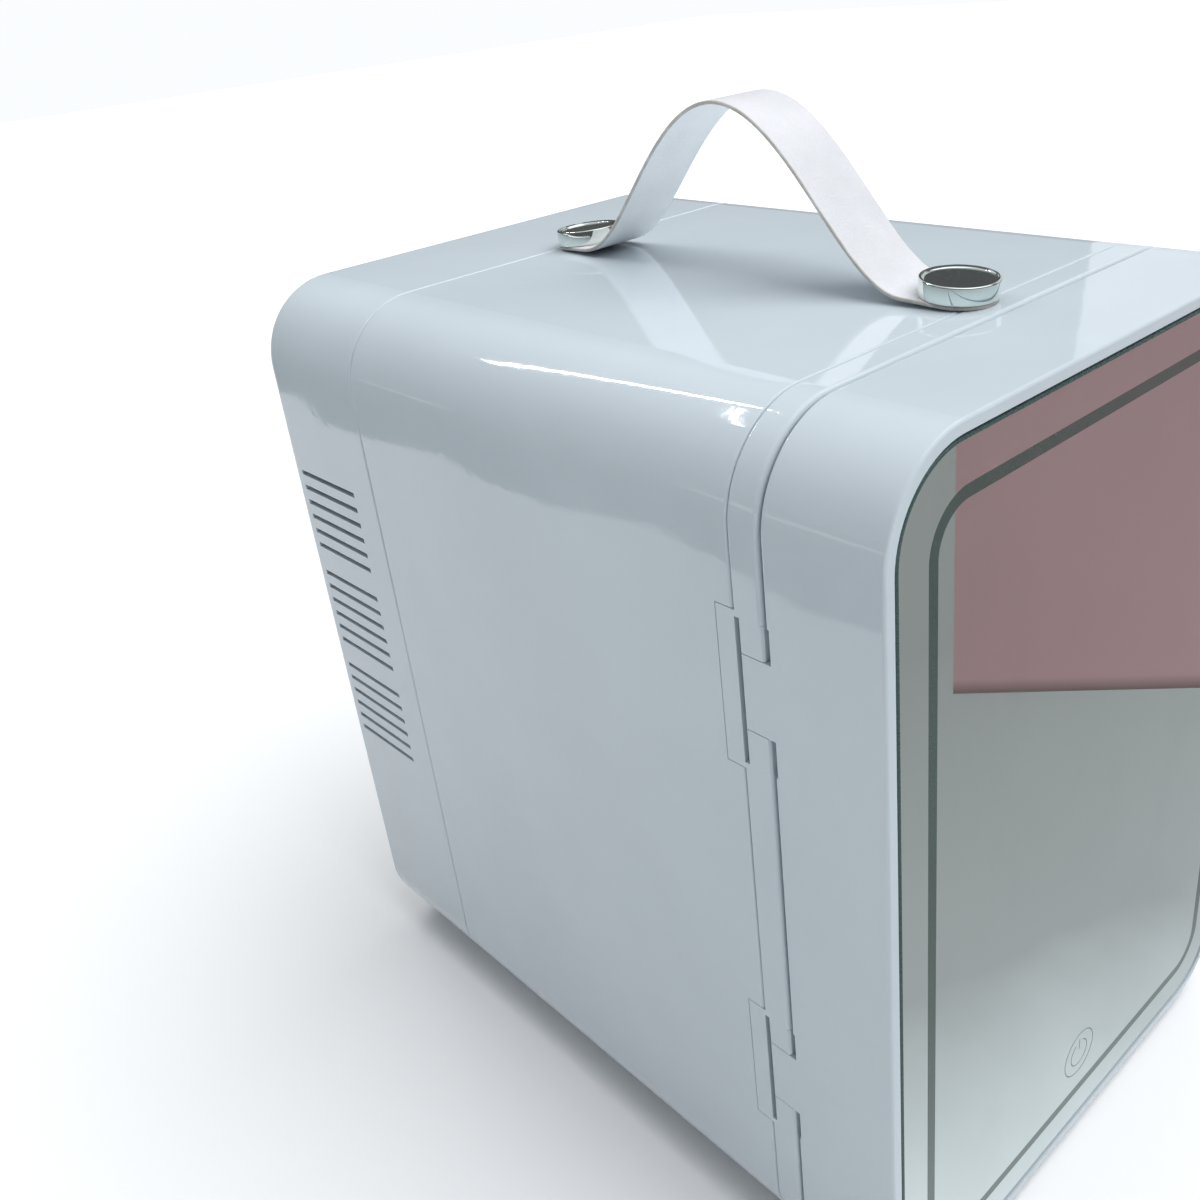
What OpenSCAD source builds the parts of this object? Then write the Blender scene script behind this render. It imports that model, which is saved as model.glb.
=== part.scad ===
// Mirror-door mini fridge, built as separate parts.
// Millimetres. +Z is up, the door faces -Y and the hinges are on the -X side.
// The origin is on the surface that the feet stand on, below the centre of the body.

/* [Body] */
// Width of the casing
body_w = 230; // [226:1:250]
// Height of the casing without its feet
shell_h = 325; // [320:1:345]
// Depth from the mirror to the back
body_d = 313.4; // [308:0.2:330]
// Radius of the four long edges
corner_r = 32; // [31:1:38]
// Thickness of the moulded walls
wall = 2.5; // [2:0.1:2.8]
// Height of the rubber feet
foot_h = 5; // [4:0.5:8]
// Width of the front frame band seen between door and casing
band_w = 11; // [10:0.5:12]
// Depth of the vented rear cover
rear_d = 66.6; // [64:0.2:72]

/* [Door] */
// Thickness of the door, mirror included
door_t = 40; // [36:0.2:41]
// Gap between the door and the front frame
door_gap = 1.2; // [1:0.1:1.4]
// Width of the door rim around the mirror glass
mirror_margin = 5; // [4.5:0.5:7]
// Corner radius of the mirror glass
mirror_r = 27; // [24:1:28]
// Thickness of the mirror glass
glass_t = 4; // [3:0.5:4]
// Distance from the glass edge to the middle of the light line
light_inset = 15; // [14:0.1:20]
// Width of the light line
light_w = 4; // [3:0.5:6]
// Height of the touch mark's centre above the door's lower edge
touch_h = 40; // [34:1:60]

/* [Hinges] */
// Top of the upper hinge slot, below the top of the casing
upper_slot = 58; // [50:0.1:80]
// Top of the lower hinge slot, below the top of the casing
lower_slot = 208.5; // [195:0.5:225]
// Height of a hinge slot
slot_h = 49; // [44:1:52]
// Radius of the door lug and the frame knuckles
lug_r = 3.4; // [3.2:0.1:3.6]
// Radius of the steel hinge pin
pin_r = 1.5; // [1.2:0.1:1.6]

/* [Handle] */
// Width of the strap
strap_w = 27; // [22:1:30]
// Thickness of the strap
strap_t = 1.3; // [1.2:0.1:2.4]
// Height of the strap's arch above the casing
strap_rise = 59; // [45:1:70]
// Diameter of the round end caps
cap_d = 25.6; // [22:0.1:27]
// Height of the round end caps
cap_h = 6; // [5:0.1:8]
// Distance of the front cap from the mirror
front_cap_y = 59; // [56:0.5:66]
// Distance of the rear cap from the mirror
rear_cap_y = 238; // [220:1:240]
// Lean of the end caps away from the middle of the strap, in degrees
cap_tilt = 4; // [0:0.5:9]

/* [Side vents] */
// Distance from one vent slot to the next
vent_pitch = 6.8; // [6:0.1:7]
// Height of a vent slot
vent_h = 2.2; // [1.6:0.1:3]
// Length of a vent slot
vent_l = 42.8; // [36:0.2:44]
// Top vent slot, below the top of the casing
vent_top = 76.8; // [70:0.2:84]

/* [Chamber] */
// Half of the chamber's width
chamber_hw = 90; // [84:1:91]
// Height of the shelf's underside
shelf_z = 160; // [150:1:166]

/* [Hidden] */
$fn = 64;

// Colours
white_abs = [0.86, 0.89, 0.92];
liner_white = [0.93, 0.94, 0.95];
soft_white = [0.93, 0.92, 0.95];
chrome_grey = [0.72, 0.74, 0.75];
steel_grey = [0.6, 0.61, 0.63];
aluminium_grey = [0.76, 0.77, 0.78];
rubber_grey = [0.25, 0.26, 0.27];
black_plastic = [0.08, 0.08, 0.09];
board_green = [0.1, 0.35, 0.2];
foam_cream = [0.9, 0.86, 0.7];
frost_grey = [0.4, 0.46, 0.45];

// Clearances
seam = 0.3; // visible joint between two mouldings
seam_r = 0.8; // round on the edges at a seam
slip = 0.3; // air between pieces on different bodies
e = 0.01; // overlap that keeps joined solids joined

// Stations along Y, from the mirror to the back
y_front = -body_d / 2;
y_back = body_d / 2;
y_door = y_front + door_t;
y_frame = y_door + door_gap;
y_body = y_frame + band_w;
y_rear = y_back - rear_d;
y_bulkhead = 66.3;
bulkhead_t = 2.5;

// Stations along Z
z_low = foot_h;
z_top = foot_h + shell_h;
z_mid = foot_h + shell_h / 2;

// Chamber
liner_t = 1.5;
chamber_z0 = 31;
chamber_z1 = 306;
chamber_h = chamber_z1 - chamber_z0;
chamber_mid = (chamber_z0 + chamber_z1) / 2;
chamber_y1 = 45;
chamber_r = 7;

// Hinges
pin_x = -body_w / 2 + lug_r;
pin_y = y_door + 4.8;
flap_y = 5; // reach of a lug's face past the pin
flap_t = 2.2;
slot_depth = 9.8;
slot_w = 1.9;
slot_y = pin_y + flap_y;
lug_h = 25;
lug_drop = 11.4;
tab_reach = 6.5;
hinge_tops = [z_top - upper_slot, z_top - lower_slot];

// Latch: magnets in the door and striker plates in the frame
strike_x = body_w / 2 - 10.5;
strike_z = [90, 247];
strike_w = 14;
strike_h = 25.6;

// Feet, one by each corner
foot_r = 8;
foot_x = body_w / 2 - 34;
foot_y = [-70, 54];
peg_foot_r = 2.1;

// Handle
cap_y = [y_front + front_cap_y, y_front + rear_cap_y];
strap_end_r = cap_d / 2 - 0.4;
screw_r = 2;
cap_lift = strap_end_r * sin(cap_tilt);

// Mirror and the light line
mirror_w = body_w - 2 * mirror_margin;
mirror_h = shell_h - 2 * mirror_margin;
glass_set = 0.4;
glass_gap = 1.2;
y_glass = y_front + glass_set + glass_t;
carrier_t = 2.4;
y_recess = y_glass + carrier_t + 0.4;

// Cooling unit
stack_z = 190;
block_w = 40;
cold_sink_w = 70;
hot_sink_w = 110;
hot_sink_h = 100;
y_cold_base = 44;
y_block = 49;
y_peltier = 68.2;
y_hot = 72;
y_hot_fins = 77;
y_hot_fan = 103;
hot_fan_w = 80;
hot_fan_t = 20;
duct_w = 10;
duct_h = 8;
duct_z = stack_z - 52;
ear_x = 62;
ear_z = 36;
clamp_x = 28.8;
board_z = 98;
board_post_x = 60;
board_post_z = 21;
cold_fan_w = 60;
cold_fan_t = 12;
y_cold_fan = 22;

// Rear panel
post_x = 96;
post_z = [24, 313];
post_r = 5;
post_end = 140;
inlet_z = 52;
ac_x = 38;
dc_x = 0;
switch_x = -38;
rocker_y = y_back - 5.6;

// ---------- shared shapes ----------

// Rounded rectangle centred on the origin.
module round_rect(w, h, r) {
    square([w - 2 * r, h], center = true);
    square([w, h - 2 * r], center = true);
    for (sx = [-1, 1], sy = [-1, 1])
        translate([sx * (w / 2 - r), sy * (h / 2 - r)])
            circle(r = r);
}

// Upright rounded plate between two stations along Y.
module plate(w, h, r, ya, yb, zc = z_mid, xc = 0) {
    translate([xc, yb, zc])
        rotate([90, 0, 0])
            linear_extrude(yb - ya)
                round_rect(w, h, r);
}

// Plate that follows the casing's outline, set in by a distance.
module casing_plate(inset, ya, yb) {
    plate(body_w - 2 * inset, shell_h - 2 * inset, corner_r - inset, ya, yb);
}

// Box given by its middle in X, its two Y stations and its middle in Z.
module block(w, h, ya, yb, zc, xc = 0) {
    translate([xc - w / 2, ya, zc - h / 2])
        cube([w, yb - ya, h]);
}

// Cylinder along Y between two stations.
module rod_y(r, ya, yb, xc, zc) {
    translate([xc, yb, zc])
        rotate([90, 0, 0])
            cylinder(r = r, h = yb - ya);
}

// Sweeps a wall section round the casing's outline.
// In the section, x = corner_r is the outer face and y is the station along Y.
module sweep_casing() {
    translate([0, 0, z_mid])
        for (k = [0:3]) {
            half = (k % 2 == 0 ? body_w : shell_h) / 2 - corner_r;
            length = (k % 2 == 0 ? shell_h : body_w) - 2 * corner_r;
            rotate([0, 90 * k, 0])
                translate([half, 0, -length / 2]) {
                    linear_extrude(length)
                        children();
                    rotate([-90, 0, 0])
                        rotate_extrude(angle = 90)
                            children();
                }
        }
}

// Wall section from ya to yb with round outer edges at the front and the back.
module wall_section(ya, yb, front_r, back_r, t = wall) {
    difference() {
        translate([corner_r - t, ya])
            square([t, yb - ya]);
        if (front_r > 0)
            translate([corner_r - front_r, ya])
                difference() {
                    translate([0, -e])
                        square([front_r + e, front_r + e]);
                    translate([0, front_r])
                        circle(r = front_r);
                }
        if (back_r > 0)
            translate([corner_r - back_r, yb - back_r])
                difference() {
                    square([back_r + e, back_r + e]);
                    circle(r = back_r);
                }
    }
}

// ---------- casing ----------

// Outline of a hinge tab, set back from the seam, grown by a margin.
module hinge_tab(top, margin = 0) {
    height = slot_h + 4;
    translate([-body_w / 2 - e, y_body - 1, top + 2 - height - margin])
        cube([wall + 2 * e, tab_reach + 1 + margin, height + 2 * margin]);
}

// Places a foot's shape at each of the four feet.
module at_feet(z) {
    for (side = [-1, 1], y = foot_y)
        translate([side * foot_x, y, z])
            children();
}

// Puts a shape on a strap end: the origin is under the end's centre and +Y points along the strap.
module on_strap_end(k) {
    translate([0, cap_y[k], z_top + cap_lift])
        rotate([0, 0, 180 * k])
            rotate([cap_tilt, 0, 0])
                children();
}

module body_shell() {
    color(white_abs)
        difference() {
            sweep_casing()
                wall_section(y_body, y_rear, seam_r, seam_r);
            for (top = hinge_tops)
                hinge_tab(top, seam);
            for (k = [0, 1])
                on_strap_end(k)
                    translate([0, 0, -10])
                        cylinder(r = screw_r + 0.2, h = 12);
            at_feet(z_low - 1)
                cylinder(r = peg_foot_r + 0.1, h = wall + 2);
        }
}

// Pocket that the hinge's slot and door lug move in.
module hinge_pocket(top) {
    translate([-body_w / 2 - 1, y_frame - 1, top - slot_h])
        cube([slot_depth + 1, slot_y + slot_w - y_frame + 1, slot_h]);
}

// Round about the pin with a flap that carries the casing's face on past it.
module lug_round() {
    translate([pin_x, pin_y])
        circle(r = lug_r);
    translate([-body_w / 2, pin_y - 1])
        square([flap_t, flap_y + 1]);
}

// Knuckle on the pin's axis, flush with the frame.
module knuckle(z, h) {
    translate([0, 0, z])
        linear_extrude(h)
            difference() {
                union() {
                    lug_round();
                    intersection() {
                        translate([pin_x, pin_y])
                            circle(r = 4.5);
                        translate([-body_w / 2, y_frame])
                            square([2 * lug_r, pin_y - y_frame]);
                    }
                }
                translate([pin_x, pin_y])
                    circle(r = pin_r + 0.04);
            }
}

module front_frame() {
    edge_r = 1.5;
    block_x = 12.5;
    color(white_abs) {
        difference() {
            union() {
                sweep_casing()
                    wall_section(y_frame, y_body - seam, edge_r, seam_r);
                casing_plate(wall - e, y_frame, y_frame + wall);
                for (top = hinge_tops) {
                    translate([-body_w / 2 + wall - e, y_frame + e, top - slot_h - 6])
                        cube([block_x - wall, band_w + tab_reach - 1, slot_h + 12]);
                    difference() {
                        hinge_tab(top);
                        translate([-body_w / 2 - 1, y_body - 2, top - slot_h - 10])
                            cube([1, 20, slot_h + 20]);
                    }
                }
            }
            plate(2 * chamber_hw + 2 * liner_t + 2 * slip, chamber_h + 2 * liner_t + 2 * slip,
                chamber_r + liner_t, y_frame - 1, y_body + 10, chamber_mid);
            for (top = hinge_tops) {
                hinge_pocket(top);
                translate([pin_x, pin_y, top - slot_h - 4])
                    cylinder(r = pin_r + 0.04, h = slot_h + 8);
            }
            for (z = strike_z)
                plate(strike_w + seam, strike_h + seam, 1, y_frame + wall - 1.2, y_frame + wall + 1,
                    z, strike_x);
        }
        for (top = hinge_tops) {
            knuckle(top - lug_drop + slip, lug_drop - slip + e);
            knuckle(top - slot_h - e, slot_h - lug_drop - lug_h - slip + e);
        }
    }
}

module inner_liner() {
    rib_l = 118;
    color(liner_white) {
        difference() {
            union() {
                plate(2 * (chamber_hw + liner_t), chamber_h + 2 * liner_t, chamber_r + liner_t,
                    y_frame, chamber_y1 + liner_t, chamber_mid);
                plate(2 * chamber_hw + 16, chamber_h + 16, chamber_r + 8,
                    y_frame + wall + 0.1, y_frame + wall + 0.1 + liner_t, chamber_mid);
            }
            plate(2 * chamber_hw, chamber_h, chamber_r, y_frame - 1, chamber_y1, chamber_mid);
            block(cold_sink_w + 1, cold_sink_w + 1, chamber_y1 - 1, chamber_y1 + liner_t + 1, stack_z);
        }
        for (side = [-1, 1], z = [shelf_z - 2.4, shelf_z + 4.4])
            block(4, 2, -102, -102 + rib_l, z + 0.8, side * (chamber_hw - 2 + e));
    }
}

module insulation_foam() {
    inset = wall + slip;
    y0 = y_body + 7;
    color(foam_cream)
        difference() {
            casing_plate(inset, y0, y_bulkhead);
            plate(2 * (chamber_hw + liner_t) + 0.2, chamber_h + 2 * liner_t + 0.2, chamber_r + liner_t,
                y0 - 1, chamber_y1 + liner_t + 0.1, chamber_mid);
            block(block_w + 0.4, block_w + 0.4, chamber_y1, y_bulkhead + 1, stack_z);
            block(cold_sink_w + 1, cold_sink_w + 1, chamber_y1, y_block + 0.2, stack_z);
            block(duct_w, duct_h, chamber_y1, y_bulkhead + 1, duct_z);
            block(26, 20, y0 - 1, cap_y[0] + 8, z_top - wall, 0);
            block(7, 40, y0 - 1, cap_y[0] + 4, z_top - wall, 0);
            at_feet(z_low)
                cylinder(r = 4.5, h = wall + 5);
        }
}

// Horizontal slots of one side, in groups.
module side_vents(side) {
    groups = 3;
    per_group = 6;
    for (g = [0:groups - 1], i = [0:per_group - 1]) {
        z = z_top - vent_top - (g * (per_group + 1) + i) * vent_pitch;
        translate([side * body_w / 2 - wall - 1, y_back - 7.4 - vent_l, z - vent_h / 2])
            cube([2 * wall + 2, vent_l, vent_h]);
    }
}

// Round field of slots in front of the fan.
module fan_grille() {
    field_r = 42;
    rows = 11;
    pitch = 7;
    for (i = [0:rows - 1]) {
        dz = (i - (rows - 1) / 2) * pitch;
        half = sqrt(field_r * field_r - dz * dz);
        if (abs(dz) < 8)
            for (side = [-1, 1])
                block(half - 14, 3.6, y_back - wall - 1, y_back + 1, stack_z + dz, side * (half + 14) / 2);
        else
            block(2 * half, 3.6, y_back - wall - 1, y_back + 1, stack_z + dz);
    }
}

module rear_cover() {
    edge_r = 4;
    color(white_abs) {
        difference() {
            union() {
                sweep_casing()
                    wall_section(y_rear + seam, y_back, seam_r, edge_r, 4);
                casing_plate(4 - e, y_back - wall, y_back);
            }
            casing_plate(wall, y_rear, y_back - wall);
            side_vents(-1);
            side_vents(1);
            fan_grille();
            block(23.6, 15.6, y_back - wall - 1, y_back + 1, inlet_z, ac_x);
            rod_y(5.6, y_back - wall - 1, y_back + 1, dc_x, inlet_z);
            block(22, 15, y_back - wall - 1, y_back + 1, inlet_z, switch_x);
            for (x = [-1, 1], z = post_z)
                rod_y(3.8, y_back - wall - 1, y_back + 1, x * post_x, z);
        }
        for (x = [-1, 1], z = post_z)
            difference() {
                rod_y(5.4, post_end + slip, y_back - 0.8, x * post_x, z);
                rod_y(3.8, post_end + 4, y_back, x * post_x, z);
                rod_y(1.8, post_end, y_back, x * post_x, z);
            }
    }
}

module rear_bulkhead() {
    color(white_abs)
        difference() {
            union() {
                casing_plate(wall + slip, y_bulkhead, y_bulkhead + bulkhead_t);
                for (x = [-1, 1], z = post_z)
                    rod_y(post_r, y_bulkhead + 1, post_end, x * post_x, z);
                for (x = [-1, 1], z = [-1, 1])
                    rod_y(3.5, y_bulkhead + 1, y_hot_fan, x * ear_x, stack_z + z * ear_z);
            }
            block(block_w + 0.4, block_w + 0.4, y_bulkhead - 1, y_bulkhead + bulkhead_t + 1, stack_z);
            block(duct_w, duct_h, y_bulkhead - 1, y_bulkhead + bulkhead_t + 1, duct_z);
            for (x = [-1, 1], z = post_z)
                rod_y(1.6, post_end - 14, post_end + 1, x * post_x, z);
            for (x = [-1, 1], z = [-1, 1])
                rod_y(1.2, y_hot_fan - 12, y_hot_fan + 1, x * ear_x, stack_z + z * ear_z);
        }
}

module feet() {
    color(rubber_grey)
        at_feet(0) {
            cylinder(r1 = foot_r - 0.8, r2 = foot_r, h = 1);
            translate([0, 0, 1 - e])
                cylinder(r = foot_r, h = foot_h - 1 + e);
            translate([0, 0, foot_h - e])
                cylinder(r = peg_foot_r, h = wall + 2);
        }
}

// ---------- inside the chamber ----------

module shelf() {
    w = 2 * chamber_hw - 1;
    y0 = -60;
    y1 = 14;
    bars = 11;
    bar_pitch = w / (bars + 1);
    color(liner_white)
        difference() {
            block(w, 3, y0, y1, shelf_z + 1.6);
            for (i = [-bars / 2:bars / 2 - 1])
                block(bar_pitch - 5, 5, y0 + 6, y1 - 6, shelf_z + 1.6, (i + 0.5) * bar_pitch);
        }
}

module vent_cover() {
    w = 104;
    h = 108;
    t = 2;
    y0 = 18;
    color(liner_white)
        difference() {
            plate(w, h, 8, y0, chamber_y1, stack_z);
            plate(w - 2 * t, h - 2 * t, 6, y0 + t, chamber_y1 + 1, stack_z);
            for (i = [-4:4])
                block(2 * sqrt(29 * 29 - i * i * 36), 3, y0 - 1, y0 + t + 1, stack_z + i * 6);
            for (side = [-1, 1], i = [-3:3])
                translate([side * (w / 2 - t / 2), y0 + 15, stack_z + i * 12])
                    cube([t + 2, 14, 4], center = true);
        }
}

// Square fan housing with a round duct and a hub held by four arms.
module fan_frame(w, ya, t) {
    duct_r = w / 2 - 2;
    hub_r = w * 0.21;
    color(black_plastic)
        difference() {
            plate(w, w, 4, ya, ya + t, stack_z);
            difference() {
                rod_y(duct_r, ya - 1, ya + t + 1, 0, stack_z);
                rod_y(hub_r, ya + t - 2, ya + t + 2, 0, stack_z);
                for (a = [45, 135])
                    translate([0, ya + t - 0.9, stack_z])
                        rotate([0, a, 0])
                            cube([2 * duct_r + 2, 1.8, 3.4], center = true);
            }
            for (x = [-1, 1], z = [-1, 1])
                rod_y(1.7, ya - 1, ya + t + 1, x * (w / 2 - 4), stack_z + z * (w / 2 - 4));
            rod_y(1.05, ya + t - 6, ya + t + 1, 0, stack_z);
        }
}

// Fan wheel: cup-shaped hub, shaft and pitched blades.
module fan_rotor(w, ya, t) {
    tip_r = w / 2 - 3.2;
    hub_r = w * 0.2;
    blades = 7;
    depth = t - 4.4;
    color(black_plastic)
        translate([0, ya + 1, stack_z])
            rotate([-90, 0, 0]) {
                cylinder(r = hub_r, h = depth);
                cylinder(r = 1, h = t - 1.4);
                for (i = [0:blades - 1])
                    rotate([0, 0, i * 360 / blades])
                        translate([hub_r - 2, 0, depth / 2])
                            rotate([38, 0, 0])
                                translate([0, -(depth / 2) * 1.1, -0.6])
                                    cube([tip_r - hub_r + 0.6, depth * 1.1, 1.2]);
            }
}

module cold_fan_frame() {
    fan_frame(cold_fan_w, y_cold_fan, cold_fan_t);
}

module cold_fan_rotor() {
    fan_rotor(cold_fan_w, y_cold_fan, cold_fan_t);
}

module cold_heatsink() {
    fins = 13;
    color(aluminium_grey) {
        block(cold_sink_w, cold_sink_w, y_cold_base, y_block, stack_z);
        for (i = [0:fins - 1])
            block(1.4, cold_sink_w, y_cold_fan + cold_fan_t + slip, y_cold_base + e, stack_z,
                (i - (fins - 1) / 2) * (cold_sink_w - 1.4) / (fins - 1));
    }
}

module cold_block() {
    color(aluminium_grey)
        block(block_w, block_w, y_block, y_peltier, stack_z);
}

// ---------- behind the bulkhead ----------

module peltier_module() {
    color([0.92, 0.92, 0.9]) {
        block(block_w, block_w, y_peltier, y_peltier + 1, stack_z);
        block(block_w, block_w, y_hot - 1, y_hot, stack_z);
        block(block_w - 2, block_w - 2, y_peltier + 1 - e, y_hot - 1 + e, stack_z);
    }
}

module hot_heatsink() {
    fins = 20;
    color(aluminium_grey)
        difference() {
            union() {
                block(hot_sink_w, hot_sink_h, y_hot, y_hot_fins, stack_z);
                for (i = [0:fins - 1])
                    block(1.6, hot_sink_h, y_hot_fins - e, y_hot_fan - 2, stack_z,
                        (i - (fins - 1) / 2) * (hot_sink_w - 1.6) / (fins - 1));
            }
            for (x = [-1, 1])
                rod_y(2.2, y_hot - 1, y_hot_fan, x * clamp_x, stack_z);
            for (x = [-1, 1])
                rod_y(3.6, y_hot_fins, y_hot_fan, x * clamp_x, stack_z);
        }
}

module hot_fan_frame() {
    fan_frame(hot_fan_w, y_hot_fan, hot_fan_t);
    color(black_plastic)
        for (x = [-1, 1], z = [-1, 1])
            difference() {
                block(28, 8, y_hot_fan, y_hot_fan + 3, stack_z + z * ear_z, x * (ear_x - 9));
                rod_y(1.5, y_hot_fan - 1, y_hot_fan + 4, x * ear_x, stack_z + z * ear_z);
                block(hot_fan_w - 1, hot_fan_w, y_hot_fan - 1, y_hot_fan + 4, stack_z);
            }
}

module hot_fan_rotor() {
    fan_rotor(hot_fan_w, y_hot_fan, hot_fan_t);
}

module power_board() {
    color(board_green)
        difference() {
            block(130, 52, y_bulkhead + bulkhead_t + 6, y_bulkhead + bulkhead_t + 7.6, board_z);
            for (x = [-1, 1], z = [-1, 1])
                rod_y(1.6, y_bulkhead, y_bulkhead + 20, x * board_post_x, board_z + z * board_post_z);
        }
    color(white_abs)
        for (x = [-1, 1], z = [-1, 1])
            difference() {
                rod_y(3.2, y_bulkhead + bulkhead_t, y_bulkhead + bulkhead_t + 6,
                    x * board_post_x, board_z + z * board_post_z);
                rod_y(1.6, y_bulkhead, y_bulkhead + 20, x * board_post_x, board_z + z * board_post_z);
            }
}

module board_components() {
    y0 = y_bulkhead + bulkhead_t + 7.6;
    color([0.95, 0.8, 0.2])
        block(26, 22, y0, y0 + 20, 100, -10);
    color(black_plastic) {
        rod_y(8, y0, y0 + 24, -38, 104);
        rod_y(5, y0, y0 + 16, 20, 108);
        rod_y(5, y0, y0 + 16, 20, 94);
        block(12, 10, y0, y0 + 9, 84, -38);
    }
    color(aluminium_grey)
        block(4, 24, y0, y0 + 20, 98, 36);
    color([0.9, 0.9, 0.88])
        block(14, 7, y0, y0 + 8, 82, 10);
}

// Two-pin mains inlet, open to the back.
module ac_inlet() {
    color(black_plastic)
        difference() {
            union() {
                block(23, 15, y_back - 22, y_back - 0.3, inlet_z, ac_x);
                plate(28, 20, 2, y_back - wall - 1.6, y_back - wall, inlet_z, ac_x);
            }
            translate([ac_x, y_back + 1, inlet_z])
                rotate([90, 0, 0])
                    linear_extrude(18)
                        round_rect(17.6, 9, 4.4);
        }
    color(steel_grey)
        for (side = [-1, 1])
            rod_y(1.2, y_back - 24, y_back - 4, ac_x + side * 4.3, inlet_z);
}

// Low-voltage barrel inlet.
module dc_inlet() {
    color(black_plastic)
        difference() {
            union() {
                rod_y(5.3, y_back - 16, y_back - 0.3, dc_x, inlet_z);
                rod_y(7.5, y_back - wall - 1.6, y_back - wall, dc_x, inlet_z);
            }
            rod_y(2.9, y_back - 12, y_back + 1, dc_x, inlet_z);
        }
    color(steel_grey)
        rod_y(1, y_back - 18, y_back - 2, dc_x, inlet_z);
}

module mode_switch_housing() {
    color(black_plastic)
        difference() {
            union() {
                block(21.6, 14.6, y_back - 20, y_back - 0.3, inlet_z, switch_x);
                plate(26, 19, 1.5, y_back - wall - 1.6, y_back - wall, inlet_z, switch_x);
            }
            block(18.6, 11.6, y_back - 15, y_back + 1, inlet_z, switch_x);
            translate([switch_x, rocker_y, inlet_z - 7])
                cylinder(r = 1.3, h = 14);
        }
}

// Cold-off-hot rocker on its own short axle.
module mode_rocker() {
    color([0.75, 0.1, 0.08])
        translate([switch_x, rocker_y, inlet_z]) {
            translate([0, 0, -5.5])
                linear_extrude(11)
                    polygon([[-8.4, -0.6], [-8.4, 3.6], [0, 2], [8.4, 3.6], [8.4, -0.6],
                        [2.2, -3.4], [-2.2, -3.4]]);
            translate([0, 0, -6.6])
                cylinder(r = 1.25, h = 13.2);
        }
}

module rear_cover_screws() {
    color(steel_grey)
        for (x = [-1, 1], z = post_z) {
            rod_y(1.5, post_end - 12, post_end + 4.2, x * post_x, z);
            difference() {
                rod_y(3.2, post_end + 4.1, post_end + 6.6, x * post_x, z);
                block(4.6, 0.9, post_end + 5.6, post_end + 7, z, x * post_x);
                block(0.9, 4.6, post_end + 5.6, post_end + 7, z, x * post_x);
            }
        }
}

module fan_screws() {
    color(steel_grey)
        for (x = [-1, 1], z = [-1, 1]) {
            rod_y(1.1, y_hot_fan - 9, y_hot_fan + 3.1, x * ear_x, stack_z + z * ear_z);
            rod_y(2.6, y_hot_fan + 3, y_hot_fan + 5, x * ear_x, stack_z + z * ear_z);
        }
}

// Long screws that clamp the hot heatsink to the cold heatsink.
module heatsink_screws() {
    color(steel_grey)
        for (x = [-1, 1]) {
            rod_y(1.6, y_bulkhead + bulkhead_t, y_hot_fins + 0.1, x * clamp_x, stack_z);
            rod_y(3, y_hot_fins, y_hot_fins + 2.4, x * clamp_x, stack_z);
        }
}

// Red and black leads from the board up to the cooling module.
module internal_wiring() {
    wire_x = [-4, 4];
    wire_z = [112, stack_z - 55];
    for (k = [0, 1])
        color(k == 0 ? [0.6, 0.1, 0.1] : black_plastic)
            block(1.8, wire_z[1] - wire_z[0], y_bulkhead + bulkhead_t + 0.2, y_bulkhead + bulkhead_t + 2,
                (wire_z[0] + wire_z[1]) / 2, wire_x[k]);
}

// ---------- handle ----------

// The strap's ends lie flat on their lean, then the arch rises from where they stop.
end_reach = [13, 13];
arch_y0 = cap_y[0] + end_reach[0] * cos(cap_tilt);
arch_y1 = cap_y[1] - end_reach[1] * cos(cap_tilt);
arch_lift = cap_lift + end_reach[0] * sin(cap_tilt);
arch_bulge = 0.0187;
arch_lean = tan(cap_tilt) * (arch_y1 - arch_y0) * (1 - 2 * PI * arch_bulge) / PI;
arch_swell = strap_rise - arch_lift - arch_lean;

// Place and height of the arch at a fraction t of its length.
function arch_y(t) = arch_y0 + (arch_y1 - arch_y0) * (t - arch_bulge * sin(360 * t));
function arch_z(t) = arch_lift + arch_lean * sin(180 * t) + arch_swell * (1 - cos(360 * t)) / 2;
function arch_slope(t) = atan2(arch_z(t + 0.001) - arch_z(t - 0.001), arch_y(t + 0.001) - arch_y(t - 0.001));
arch_steps = 40;
arch = [for (i = [0:arch_steps]) i / arch_steps];

module handle_strap() {
    lower = [for (t = arch) [arch_y(t), arch_z(t)]];
    upper = [for (t = arch) [
        arch_y(t) - strap_t * sin(arch_slope(t)),
        arch_z(t) + strap_t * cos(arch_slope(t))
    ]];
    flipped = [for (i = [arch_steps:-1:0]) upper[i]];
    color(soft_white)
        difference() {
            union() {
                translate([-strap_w / 2, 0, z_top])
                    rotate([90, 0, 90])
                        linear_extrude(strap_w)
                            polygon(concat(lower, flipped));
                for (k = [0, 1])
                    on_strap_end(k) {
                        cylinder(r = strap_end_r, h = strap_t);
                        linear_extrude(strap_t)
                            polygon([
                                [-strap_end_r, 0], [strap_end_r, 0],
                                [strap_w / 2, end_reach[k] + 5 * e], [-strap_w / 2, end_reach[k] + 5 * e]
                            ]);
                    }
            }
            for (k = [0, 1])
                on_strap_end(k)
                    translate([0, 0, -1])
                        cylinder(r = screw_r + 0.2, h = strap_t + 2);
        }
}

// Polished cap with a raised rim, hollow below for the screw head.
module strap_cap(k) {
    rim = 1.1;
    dish = 0.7;
    skirt = 2;
    color(chrome_grey)
        on_strap_end(k)
            translate([0, 0, strap_t])
                difference() {
                    cylinder(r = cap_d / 2, h = cap_h);
                    translate([0, 0, cap_h - dish])
                        cylinder(r = cap_d / 2 - rim, h = dish + 1);
                    translate([0, 0, -1])
                        cylinder(r = cap_d / 2 - skirt, h = cap_h - dish - 0.4);
                }
}

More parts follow.
